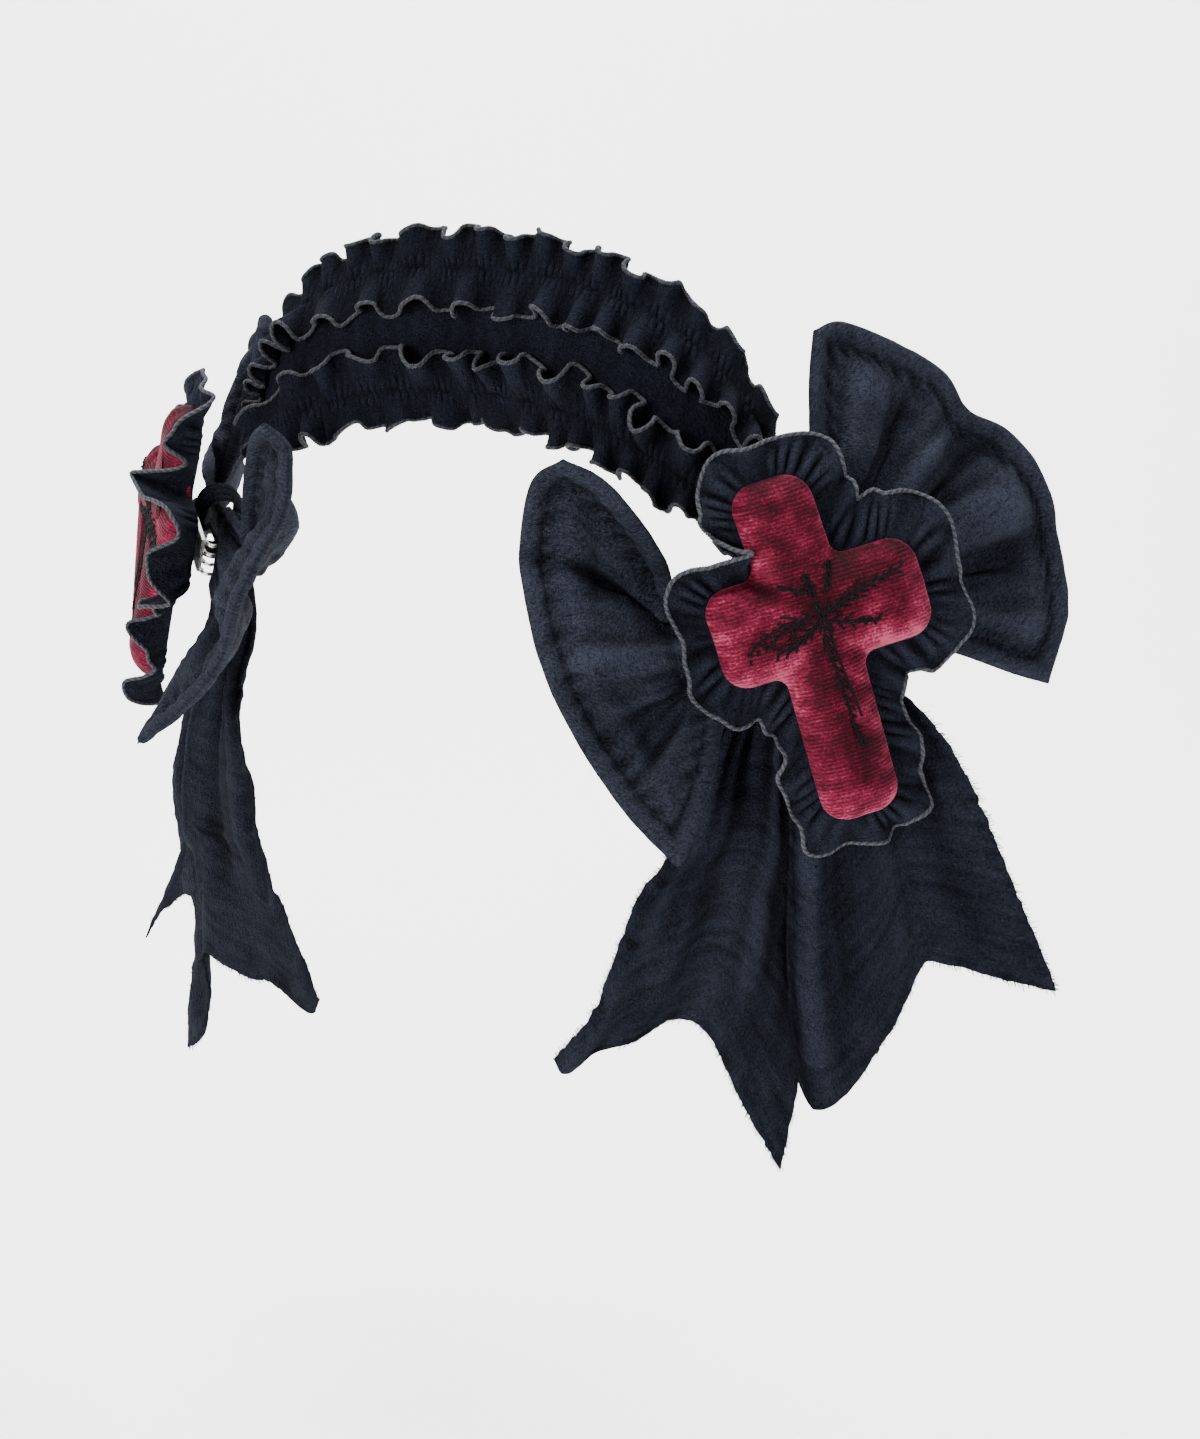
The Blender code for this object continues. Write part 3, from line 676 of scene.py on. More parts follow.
def overlock(name, dark, light, gloss=0.3, sheen=0.05):
    """Thread wrapped over a cut edge, a stitch every millimetre or so."""
    m = Mat(name)
    mm = m.coords((1000.0, 1000.0, 1000.0))
    stitch = m.wave(mm, 1.0 / 1.1 / 3.183, "DIAGONAL", 0.5)
    fuzz = m.noise(m.coords((3000.0, 900.0, 1.0)), 1.0, 2.0)
    tone = m.math("ADD", m.math("MULTIPLY", stitch.outputs["Fac"], value=0.55), m.math("MULTIPLY", fuzz.outputs["Fac"], value=0.45))
    ramp = m.ramp(tone, [(0.2, dark), (0.8, light)])
    m.nt.links.new(ramp.outputs["Color"], m.bsdf.inputs["Base Color"])
    rough = m.ramp(fuzz.outputs["Fac"], [(0.2, (0.6,) * 3), (0.8, (0.85,) * 3)])
    m.nt.links.new(rough.outputs["Color"], m.bsdf.inputs["Roughness"])
    n1 = m.bump(stitch.outputs["Fac"], 0.7, 0.0003)
    n2 = m.bump(fuzz.outputs["Fac"], 0.4, 0.0001, n1)
    m.nt.links.new(n2, m.bsdf.inputs["Normal"])
    m.bsdf.inputs["Specular IOR Level"].default_value = gloss
    m.bsdf.inputs["Sheen Weight"].default_value = sheen
    m.bsdf.inputs["Sheen Tint"].default_value = (0.7, 0.75, 0.9, 1.0)
    return m.mat


def velvet(name):
    """Burgundy stretch velvet with fine ribs and crushed patches, plus painted pink sheen on the rims and painted
    shade on the flat faces.
    """
    m = Mat(name)
    ribs = m.wave(m.coords((1000.0, 1000.0, 1000.0)), 1.0 / 1.15 / 3.183, "Y", 1.3)
    crush = m.noise(m.coords((95.0, 130.0, 1.0)), 1.0, 4.0, 0.65)
    pile = m.noise(m.coords((1300.0, 1700.0, 1.0)), 1.0, 2.0)
    broad = m.noise(m.coords((34.0, 34.0, 1.0)), 1.0, 2.0)
    tone = m.math("ADD", m.math("MULTIPLY", crush.outputs["Fac"], value=0.95), m.math("MULTIPLY", broad.outputs["Fac"], value=0.50))
    tone = m.math("ADD", tone, m.math("MULTIPLY", ribs.outputs["Fac"], value=0.10))
    tone = m.math("ADD", tone, m.math("MULTIPLY", pile.outputs["Fac"], value=0.62))
    tone = m.math("ADD", tone, value=-0.50)
    # painted sheen and shade: the pad's per-point attribute lifts the colour towards pink on the rims and darkens the
    # flat faces; the pink top of the ramp is the painted highlight
    painted_sheen_and_shade = m.add("ShaderNodeAttribute", attribute_name="painted_sheen_and_shade")
    tone = m.math("ADD", m.math("MULTIPLY", tone, value=0.80), m.math("MULTIPLY", painted_sheen_and_shade.outputs["Fac"], value=0.46))
    ramp = m.ramp(tone, [(0.42, (0.009, 0.0002, 0.0014)), (0.58, (0.036, 0.0008, 0.0056)), (0.74, (0.100, 0.0060, 0.0200)), (0.95, (0.270, 0.0440, 0.0820))])
    m.nt.links.new(ramp.outputs["Color"], m.bsdf.inputs["Base Color"])
    rough = m.ramp(crush.outputs["Fac"], [(0.3, (0.62,) * 3), (0.7, (0.85,) * 3)])
    m.nt.links.new(rough.outputs["Color"], m.bsdf.inputs["Roughness"])
    n1 = m.bump(crush.outputs["Fac"], 0.35, 0.0012)
    n2 = m.bump(ribs.outputs["Fac"], 0.55, 0.0003, n1)
    n3 = m.bump(pile.outputs["Fac"], 0.35, 0.00012, n2)
    m.nt.links.new(n3, m.bsdf.inputs["Normal"])
    m.bsdf.inputs["Specular IOR Level"].default_value = 0.06
    m.bsdf.inputs["Sheen Weight"].default_value = 0.22
    m.bsdf.inputs["Sheen Roughness"].default_value = 0.24
    m.bsdf.inputs["Sheen Tint"].default_value = (1.0, 0.22, 0.36, 1.0)
    return m.mat


def metal(name):
    m = Mat(name)
    fine = m.noise(m.coords((900.0, 5000.0, 900.0), uv=False), 1.0, 3.0)
    tarnish = m.noise(m.coords((160.0, 160.0, 160.0), uv=False), 1.0, 3.0)
    ramp = m.ramp(tarnish.outputs["Fac"], [(0.3, (0.42, 0.41, 0.39)), (0.7, (0.70, 0.69, 0.67))])
    m.nt.links.new(ramp.outputs["Color"], m.bsdf.inputs["Base Color"])
    rough = m.ramp(fine.outputs["Fac"], [(0.3, (0.22,) * 3), (0.7, (0.38,) * 3)])
    m.nt.links.new(rough.outputs["Color"], m.bsdf.inputs["Roughness"])
    m.nt.links.new(m.bump(fine.outputs["Fac"], 0.15, 0.00008), m.bsdf.inputs["Normal"])
    m.bsdf.inputs["Metallic"].default_value = 1.0
    return m.mat


def paper(name, colour):
    """Seamless studio sweep."""
    m = Mat(name)
    fine = m.noise(m.coords((40.0, 40.0, 40.0), uv=False), 1.0, 2.0)
    ramp = m.ramp(fine.outputs["Fac"], [(0.0, tuple(c * 0.99 for c in colour)), (1.0, colour)])
    m.nt.links.new(ramp.outputs["Color"], m.bsdf.inputs["Base Color"])
    m.bsdf.inputs["Roughness"].default_value = 0.9
    m.bsdf.inputs["Specular IOR Level"].default_value = 0.1
    m.bsdf.inputs["Emission Color"].default_value = (1.0, 1.0, 1.0, 1.0)
    m.bsdf.inputs["Emission Strength"].default_value = 0.75
    return m.mat


COTTON = cotton("cotton_gauze", (0.0003, 0.0005, 0.0014), (0.0118, 0.0138, 0.0220), sheen=0.006)
# painted shade: a darker copy of the same gauze, used on the band and ruffles
COTTON_PAINTED_SHADE = cotton("cotton_gauze_painted_shade", (0.0002, 0.0004, 0.0012), (0.0062, 0.0075, 0.0130), sheen=0.003)
# painted light: a brighter copy of the same gauze for the padded bow wings; the stronger crinkle is real
COTTON_PADDED_PAINTED_LIGHT = cotton("cotton_padded_painted_light", (0.0004, 0.0006, 0.0016), (0.0200, 0.0230, 0.0345), crinkle=1.15, sheen=0.008)
OVERLOCK = overlock("overlock_thread", (0.005, 0.0055, 0.008), (0.034, 0.037, 0.046))
# painted shade: a darker copy of the overlock thread for the ruffle edges
OVERLOCK_PAINTED_SHADE = overlock("overlock_painted_shade", (0.0022, 0.0025, 0.0042), (0.0165, 0.0182, 0.0240))
THREAD = overlock("black_thread", (0.0002, 0.0002, 0.0003), (0.0022, 0.0022, 0.0030), gloss=0.10, sheen=0.0)
VELVET = velvet("burgundy_velvet")
NICKEL = metal("nickel")


# ---------------------------------------------------------------------- band
def band_rows(t):
    rows = np.array(BAND_ROWS, float)
    first = rows[1] * np.array([-1.0, 1.0, 1.0, -1.0, 1.0, 1.0])
    ext = np.vstack([first, rows, rows[-1] * 2 - rows[-2]])
    x = np.abs(t) * (len(rows) - 1)
    k = np.clip(x.astype(int), 0, len(rows) - 2)
    f = (x - k)[..., None]
    p0, p1, p2, p3 = ext[k], ext[k + 1], ext[k + 2], ext[k + 3]
    m1, m2 = (p2 - p0) / 2, (p3 - p1) / 2
    f2, f3 = f * f, f * f * f
    out = p1 * (2 * f3 - 3 * f2 + 1) + m1 * (f3 - 2 * f2 + f) + p2 * (3 * f2 - 2 * f3) + m2 * (f3 - f2)
    sign = np.where(t < 0, -1.0, 1.0)[..., None] * np.array([1.0, 0, 0, 1.0, 0, 0]) + np.array([0, 1.0, 1.0, 0, 1.0, 1.0])
    return out * sign


def band_point(t, s):
    out = band_rows(t)
    return out[..., :3] * ((1 - s) / 2)[..., None] + out[..., 3:] * ((1 + s) / 2)[..., None]


def band_surface(t, s, lift):
    """Points over arrays t, s; lift is the height above the middle of the band."""
    t, s, lift = np.broadcast_arrays(np.asarray(t, float), np.asarray(s, float), np.asarray(lift, float))
    d = 0.006
    a = band_point(t + d, s) - band_point(t - d, s)
    b = band_point(t, s + d) - band_point(t, s - d)
    n = np.cross(a, b)
    n /= np.linalg.norm(n, axis=-1, keepdims=True)
    crown = BAND_CROWN * np.clip(1 - s * s, 0, 1)
    return band_point(t, s) + n * (crown + lift)[..., None]


def band_half(t):
    out = band_rows(t)
    return np.linalg.norm(out[..., 3:] - out[..., :3], axis=-1) / 2


def build_band():
    nt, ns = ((300, 34))
    t = np.linspace(-1, 1, nt + 1)[:, None]
    s = np.linspace(-BAND_HALF, BAND_HALF, ns + 1)[None]
    P = band_surface(t, s, 0.0)
    A, C = cloth_coords(P)
    rise = 0.42 * wrinkle(A, C, 3.1, (4.5, 11.0)) + 0.9 * wrinkle(A, C, 8.7, (26.0, 30.0))
    N = grid_normals(P)
    if (N[nt // 2, ns // 2] @ np.array([0, -1.0, 0])) < 0:
        N = -N
    edge = 1 - np.abs(s) / BAND_HALF
    roll = 1.15 * np.clip(edge * 12, 0.25, 1)
    front = P + N * (rise + roll)[..., None]
    back = P + N * (0.4 * rise - roll)[..., None]
    # painted shade: the band gets the darker copy of the gauze
    obj = shell("band_cloth", front, back, (A, C), COTTON_PAINTED_SHADE)
    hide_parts("band")
    return obj


def sine_wave(theta, share):
    """x and height along one meander, for shares 0 to 1 of its cloth; x ends at 1."""
    grid = np.linspace(0, 2 * math.pi, 121)
    ang = theta * np.sin(grid)
    dx, dy = np.cos(ang), np.sin(ang)
    x = np.concatenate([[0], np.cumsum((dx[1:] + dx[:-1]) / 2)])
    y = np.concatenate([[0], np.cumsum((dy[1:] + dy[:-1]) / 2)])
    y, x = y / x[-1], x / x[-1]
    return np.interp(share * 2 * math.pi, grid, x), np.interp(share * 2 * math.pi, grid, y)


# kinds of wave in the ruffles: lengths, peak heights, turns, how many in a run
OVER_BAND = (
    ((9.5, 13.5), (7.0, 11.5), (1.35, 1.80), (1, 2)),
    ((15.0, 23.0), (5.0, 9.5), (1.15, 1.70), (1, 1)),
    ((8.0, 10.0), (6.0, 8.5), (1.35, 1.70), (1, 2)),
)
BEYOND_BAND = (
    ((8.5, 12.5), (5.0, 8.5), (1.25, 1.70), (1, 3)),
    ((14.0, 22.0), (4.0, 8.0), (1.05, 1.55), (1, 1)),
)


def meander_waves(total, rng, kinds):
    """Waves one after the other: start, length, peak height and turn of each."""
    rows, x = [], 0.0
    while x < total - 1e-6:
        lengths, peaks, thetas, run = kinds[rng.randrange(len(kinds))]
        for _ in range(rng.randint(*run)):
            length = rng.uniform(*lengths)
            if total - x - length < 7.0:
                length = total - x
            rows.append((x, length, rng.uniform(*peaks), rng.uniform(*thetas)))
            x += length
            if x >= total - 1e-6:
                break
    return rows


def meander(rows, x):
    """Sideways shift and height of the edge of the cloth at seam distance x."""
    k = 0
    while k < len(rows) - 1 and x >= rows[k][0] + rows[k][1]:
        k += 1
    x0, length, peak, theta = rows[k]
    share = min(max((x - x0) / length, 0.0), 1.0)
    fx, fy = sine_wave(theta, share)
    top = float(sine_wave(theta, 0.5)[1])
    return float(fx - share) * length, float(fy) / top * peak, peak


def build_ruffle(name, node, seam, seed):
    """Strip gathered along its middle; each half waves on its own."""
    rng = random.Random(seed)
    rows_w = 11
    tt = np.linspace(-0.965, 0.965, 801)
    line = band_surface(tt, seam, 0.0)
    dist = np.concatenate([[0], np.cumsum(np.linalg.norm(np.diff(line, axis=0), axis=1))])
    total = dist[-1]
    inward = -1 if seam > 0 else 1  # the half that lies over the band
    waves = {inward: meander_waves(total, rng, OVER_BAND), -inward: meander_waves(total, rng, BEYOND_BAND)}
    n = int(total / (0.42))
    cols = np.linspace(0, total, n)
    ws = np.concatenate([-np.linspace(1, 0, rows_w + 1)[:-1], np.linspace(0, 1, rows_w + 1)])
    T, S, L = np.empty((n, len(ws))), np.empty((n, len(ws))), np.empty((n, len(ws)))
    for i, x in enumerate(cols):
        t_seam = float(np.interp(x, dist, tt))
        half_width = float(band_half(np.array([t_seam]))[0])
        taper = 1 - 0.60 * float(smooth(abs(t_seam), 0.62, 0.88))
        reach = RUFFLE_HALF * half_width * 1.04
        shift = {h: meander(waves[h], x) for h in (1, -1)}
        for j, w in enumerate(ws):
            half = 1 if w >= 0 else -1
            lean, high, peak = shift[half]
            a = abs(w)
            high, peak = high * taper, peak * taper
            if half == inward:
                base, up = 2.3 + 0.4 * a * taper, high
            else:
                base, up = 2.3 - 0.8 * a * taper, high - 0.40 * peak
            up_w = up * a ** 0.95
            full = reach * (1.20 if half == inward else 1.04)
            free = math.sqrt(max(full * full - up * up, (0.26 * full) ** 2))
            free *= 1 + 0.13 * math.sin(x * 0.29 + 2.0 * half + seed) + 0.07 * math.sin(x * 0.71 + seed)
            out = free * a
            crimp = math.exp(-((a - 0.17) / 0.17) ** 2)
            pleat = 0.70 * crimp * math.sin(2 * math.pi * x / 2.2 + 1.9 * math.sin(x * 0.31) + half)
            pleat *= 0.6 + 0.4 * math.sin(x * 0.53 + seed)
            T[i, j] = np.interp(x + lean * a ** 1.1, dist, tt)
            S[i, j] = seam + half * out / half_width
            L[i, j] = base + up_w + pleat
    P = band_surface(T, S, L)
    A = np.broadcast_to((cols * 1.7)[:, None], P.shape[:2]).copy()
    C = np.broadcast_to(ws[None] * 10.2, P.shape[:2]).copy()
    N = grid_normals(P)
    rise = 0.42 * wrinkle(A, C, seed * 1.7, (4.6, 6.5)) + 0.16 * wrinkle(A, C, seed * 2.9, (1.9, 2.4), 1)
    P = P + N * (rise * (0.35 + 0.65 * np.abs(ws)[None]))[..., None]
    N = grid_normals(P)
    front, back = P + N * 0.32, P - N * 0.32
    # painted shade: the ruffles get the darker copy of the gauze
    obj = shell(name, front, back, (A, C), COTTON_PAINTED_SHADE)
    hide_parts(node)
    # painted shade: the ruffle edges get the darker copy of the thread
    edges = thread(name + "_overlock", [P[:, 0], P[:, -1]], OVERLOCK_PAINTED_SHADE, radius=0.64, bead=0.11, pitch=0.85)
    return obj


# ----------------------------------------------------------------------- bow
BOW_TIP = 7.0  # the lower tip of the front wing lies this far out over the tail


def exit_point(sign, height):
    return KNOT_AT + CROSS_BACK * (KNOT_HALF_LENGTH + 1.5) * sign + CROSS_UP * height


def loop_grid(which, u, v, side):
    top, bottom = KNOT_AT + CROSS_UP * PINCH_HALF, KNOT_AT - CROSS_UP * PINCH_HALF
    if which == "front":
        rim, upper, lower, folds, sign = FRONT_RIM, FRONT_TOP, FRONT_BOTTOM, FRONT_FOLDS, -1
    else:
        rim, upper, lower, folds, sign = REAR_RIM, REAR_TOP, REAR_BOTTOM, REAR_FOLDS, 1
    first = [top, exit_point(sign, PINCH_HALF + 1.2), *upper, rim[0]]
    last = [bottom, exit_point(sign, -PINCH_HALF - 1.2), *lower, rim[-1]]
    P = patch([top, bottom], rim, first, last, u, v)
    U, V = u[:, None], v[None, :]
    edge = smooth(V, 0.0, 0.12) * (1 - smooth(V, 0.88, 1.0))
    P = P + CROSS_OUT * (fold_rise(folds, U, V) * edge)[..., None]
    if which == "rear" and side < 0:
        P[..., 2] -= 13.0 * (U * (1 - V))
    return P


def build_bow(word, side):
    nu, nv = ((84, 96))
    u = np.linspace(0, 1, nu + 1)
    v = np.linspace(0, 1, nv + 1)
    # more rows near the rims
    u = u + 0.10 * np.sin(math.pi * u) * u
    v = v - 0.03 * np.sin(2 * math.pi * v)
    grids = {}
    for which in ("front", "rear"):
        grids[which] = loop_grid(which, u, v, side)
    tip = smooth(v, 0.62, 0.95)[None] * smooth(u, 0.35, 0.8)[:, None]
    grids["front"] = grids["front"] + CROSS_OUT * (BOW_TIP * tip)[..., None]
    P = np.concatenate([grids["front"][::-1], grids["rear"][1:]], axis=0)
    uu = np.concatenate([u[::-1], u[1:]])[:, None]
    A, C = cloth_coords(P)
    du = np.linalg.norm(np.diff(P, axis=0), axis=2)
    dv = np.linalg.norm(np.diff(P, axis=1), axis=2)
    cu, cv = np.zeros(P.shape[:2]), np.zeros(P.shape[:2])
    cu[1:], cv[:, 1:] = np.cumsum(du, axis=0), np.cumsum(dv, axis=1)
    to_rim = np.minimum(cu, cu[-1:] - cu)
    to_side = np.minimum(cv, cv[:, -1:] - cv)
    d = np.minimum(to_rim, to_side + 60 * (1 - smooth(uu, 0.12, 0.30)))
    d = np.minimum(to_rim, np.maximum(to_side, 0.0) * (1 + 3.0 * (1 - smooth(uu, 0.25, 0.45))))
    N = grid_normals(P)
    mid = N[nu // 3, nv // 2]
    if mid @ CROSS_OUT < 0:
        N = -N
    groove, puff = 6.2, 3.1
    roll = 2.3 * np.sqrt(np.clip(1 - ((d - groove / 2) / (groove / 2)) ** 2, 0, 1))
    inner = 0.60 + (puff - 0.60) * smooth(d, groove - 0.3, groove + 8.0)
    half = np.where(d < groove, np.maximum(roll, 0.60 * smooth(d, groove * 0.5, groove)), inner)
    half = np.maximum(half, 0.18) * (0.45 + 0.55 * smooth(uu, 0.08, 0.40))
    # wrinkles that run out from the knot, soft puckers along the seam, crinkle
    V = np.broadcast_to(v[None], P.shape[:2])
    spread = np.broadcast_to(uu, P.shape[:2])
    rays = wrinkle(V * 100, spread * 100 * np.where(np.arange(len(uu))[:, None] < nu, 1, -1), 4.4 + side, (7.0, 60.0))
    rays *= 3.4 * smooth(spread, 0.10, 0.35) * (1 - 0.7 * smooth(spread, 0.75, 0.95)) * smooth(to_side, 2, 14)
    soft = 1.3 * wrinkle(A, C, 2.2 + side, (17.0, 21.0)) * smooth(d, 4, 14)
    fine = 0.28 * wrinkle(A, C, 6.1 + side, (4.2, 5.5))
    gather = np.sin((cu + cv) * 0.92 + 1.6 * np.sin((cu + cv) * 0.17))
    pucker = 0.75 * gather * np.exp(-((d - groove - 1.0) / 3.0) ** 2) - 0.5 * np.exp(-((d - groove) / 1.1) ** 2)
    front = P + N * (half + rays + soft + fine + pucker)[..., None]
    rays2 = 2.0 * wrinkle(V * 100, spread * 100, 14.4 + side, (8.0, 60.0)) * smooth(spread, 0.1, 0.35) * (1 - 0.7 * smooth(spread, 0.75, 0.95)) * smooth(to_side, 2, 14)
    back = P + N * (-half + 0.6 * rays + 0.4 * rays2 + soft + 0.28 * wrinkle(A, C, 16.1, (4.2, 5.5)) - pucker)[..., None]
    gap = np.sum((front - back) * N, axis=2)
    short = np.clip(0.5 - gap, 0, None)[..., None]
    front, back = front + N * short / 2, back - N * short / 2
    # painted light: the bows get the brighter copy of the gauze, with weaker painted fold shade
    obj = shell("bow_cloth_" + word, front, back, (A, C), COTTON_PADDED_PAINTED_LIGHT, side=side, painted_shade_depth=0.42)
    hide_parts("bow_" + word)
    return obj


def build_knot(word, side):
    deep, tall = KNOT_INNER
    n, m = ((120, 20))
    a = np.arange(n) * 2 * math.pi / n
    c, s = np.cos(a), np.sin(a)
    k = np.linspace(-1, 1, m + 1)
    x = np.sign(c) * np.abs(c) ** 0.75 * (deep + KNOT_THICK / 2)
    y = np.sign(s) * np.abs(s) ** 0.75 * (tall + KNOT_THICK / 2)
    bulge = 0.9 * (1 - k * k)
    P = (KNOT_AT + CROSS_BACK * (KNOT_HALF_LENGTH * k)[None, :, None]
         + CROSS_OUT * (x[:, None] + bulge[None] * c[:, None])[..., None]
         + CROSS_UP * (y[:, None] + bulge[None] * s[:, None])[..., None])
    A = np.broadcast_to((a * 9.0)[:, None], P.shape[:2]).copy()
    C = np.broadcast_to((k * KNOT_HALF_LENGTH)[None], P.shape[:2]).copy()
    N = grid_normals(P, closed=True)
    if N[0, m // 2] @ CROSS_OUT < 0:
        N = -N
    pleat = 0.45 * np.sin(2 * math.pi * C / 3.1 + 0.6 * np.sin(a * 3)[:, None]) * smooth(1 - np.abs(k), 0, 0.3)
    front, back = P + N * (0.85 + pleat)[..., None], P - N * 0.85
    obj = shell("knot_cloth_" + word, front, back, (A, C), COTTON, closed=True, side=side)
    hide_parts("knot_" + word)
    return obj


# --------------------------------------------------------------------- tails
TAIL_BACK_OFF = 5.0  # the front tail gives way behind the tip of the wing


def build_tail(part, word, side, outline, folds, seed):
    fore, hem, aft = outline
    nu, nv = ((120, 84))
    u, v = np.linspace(0, 1, nu + 1), np.linspace(0, 1, nv + 1)
    P = patch([fore[0], aft[0]], hem, fore, aft, u, v)
    U, V = u[:, None], v[None]
    edge = smooth(V, 0.0, 0.10) * (1 - smooth(V, 0.90, 1.0))
    P = P + CROSS_OUT * (fold_rise(folds, U, V) * edge)[..., None]
    if part == "front":
        P = P - CROSS_OUT * (TAIL_BACK_OFF * (1 - smooth(V, 0.15, 0.55)) * smooth(U, 0.05, 0.25) * (1 - smooth(U, 0.5, 0.8)))[..., None]
    A, C = cloth_coords(P)
    N = grid_normals(P)
    if N[nu // 2, nv // 2] @ CROSS_OUT < 0:
        N = -N
    UU, VV = np.broadcast_to(U, P.shape[:2]), np.broadcast_to(V, P.shape[:2])
    gather = 1.5 * np.sin(2 * math.pi * VV * 7 + 2 * np.sin(seed + 3 * UU)) * (1 - smooth(UU, 0.05, 0.55))
    cross = 0.42 * wrinkle(A + 2.0 * np.sin(C / 14), C, seed, (3.3, 19.0))
    soft = 1.5 * wrinkle(A, C, seed + 5.5, (30.0, 22.0)) * smooth(UU, 0.1, 0.4)
    near = np.minimum(np.minimum(UU * 0 + (1 - UU) * 40, VV * 30), (1 - VV) * 30)
    curl = 0.8 * wrinkle(A, C, seed + 11.0, (9.0, 9.0)) * (1 - smooth(near, 0, 5))
    rise = gather + cross + soft + curl
    P2 = P + N * rise[..., None]
    ragged = 0.55 * wrinkle(A, C, seed + 17.0, (2.2, 2.2)) + 0.5 * wrinkle(A, C, seed + 19.0, (6.0, 6.0), 1)
    for spot, inside in (((slice(None), 0), (slice(None), 2)), ((slice(None), -1), (slice(None), -3)), ((-1, slice(None)), (-3, slice(None)))):
        away = P2[spot] - P2[inside]
        away /= np.maximum(np.linalg.norm(away, axis=-1, keepdims=True), 1e-9)
        P2[spot] = P2[spot] + away * (ragged[spot] * smooth(UU[spot], 0.1, 0.3))[..., None]
    front, back = P2 + N * 0.36, P2 - N * 0.36
    name = "tail_" + part + "_cloth_" + word
    obj = shell(name, front, back, (A, C), COTTON, side=side)
    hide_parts("tail_" + part + "_" + word)
    rng = random.Random(int(seed * 10))
    hairs = []
    for rim, inside in ((P2[:, 0], P2[:, 2]), (P2[-1], P2[-3]), (P2[:, -1], P2[:, -3])):
        run = np.concatenate([[0], np.cumsum(np.linalg.norm(np.diff(rim, axis=0), axis=1))])
        at = run[-1] * 0.25 if rim is not P2[-1] else 0.5
        while at < run[-1] - 0.3:
            q = np.array([np.interp(at, run, rim[:, k]) for k in range(3)])
            w = np.array([np.interp(at, run, inside[:, k]) for k in range(3)])
            away = unit(q - w)
            bend = np.array([rng.uniform(-1, 1), rng.uniform(-1, 1), rng.uniform(-1, 1)])
            size = rng.uniform(0.5, 1.5) if rim is not P2[-1] else rng.uniform(0.6, 1.9)
            hairs.append([q - away * 0.8, q + away * size * 0.5 + bend * 0.15 * size, q + away * size + bend * 0.55 * size])
            at += rng.uniform(0.35, 1.1)
    thread("hem_fray_" + part + "_" + word, hairs, COTTON, radius=0.15, bead=0.0, pitch=1.2, sides=3, side=side)
    return obj


# --------------------------------------------------------------------- cross
def cross_outline(grow, steps=3, spacing=0.0):
    """Rounded cross grown by a margin: (back, up) points, the same count for any margin."""
    stem, arm = PAD_STEM + grow, PAD_ARM + grow
    top, bottom, front, back = PAD_TOP + grow, PAD_BOTTOM + grow, PAD_FRONT + grow, PAD_BACK + grow
    corners = [
        (-stem, top, 1), (stem, top, 1), (stem, arm, 0), (back, arm, 1),
        (back, -arm, 1), (stem, -arm, 0), (stem, -bottom, 1), (-stem, -bottom, 1),
        (-stem, -arm, 0), (-front, -arm, 1), (-front, arm, 1), (-stem, arm, 0),
    ]
    runs = [4, 6, 4, 6, 4, 14, 4, 14, 4, 6, 4, 6]
    runs = [r * max(steps // 3, 1) for r in runs]
    out = []
    count = len(corners)
    for i, (x, y, outside) in enumerate(corners):
        here = np.array([x, y])
        prv = np.array(corners[i - 1][:2])
        nxt3 = corners[(i + 1) % count]
        nxt = np.array(nxt3[:2])
        a, b = unit(prv - here), unit(nxt - here)

        def rad(kind):
            r = PAD_ROUND + 0.6 * grow if kind else PAD_CORNER - 0.25 * grow
            return min(max(r, 0.8), stem * 0.96)

        r, far = rad(outside), rad(nxt3[2])
        centre = here + (a + b) * r
        for k in range(steps + 1):
            f = k / steps * math.pi / 2
            out.append(centre - b * r * math.cos(f) - a * r * math.sin(f))
        start, stop = here + b * r, nxt - b * far
        for k in range(1, runs[i] + 1):
            out.append(start + (stop - start) * k / (runs[i] + 1))
    return np.array(out)


def on_cross(points, out):
    points = np.asarray(points, float)
    lean = PAD_LEAN * np.clip(points[..., 1], 0, None)
    return (CROSS_AT + CROSS_BACK * (points[..., 0] - lean)[..., None]
            + CROSS_UP * points[..., 1][..., None] + CROSS_OUT * np.asarray(out)[..., None])


def pad_height(d):
    """Height of the pad's top over the distance in from its outline."""
    d = np.clip(d, 0, 9.5)
    return 1.6 + 7.6 * np.sqrt(np.clip(1 - (1 - d / 9.5) ** 2, 0, 1)) ** 1.05


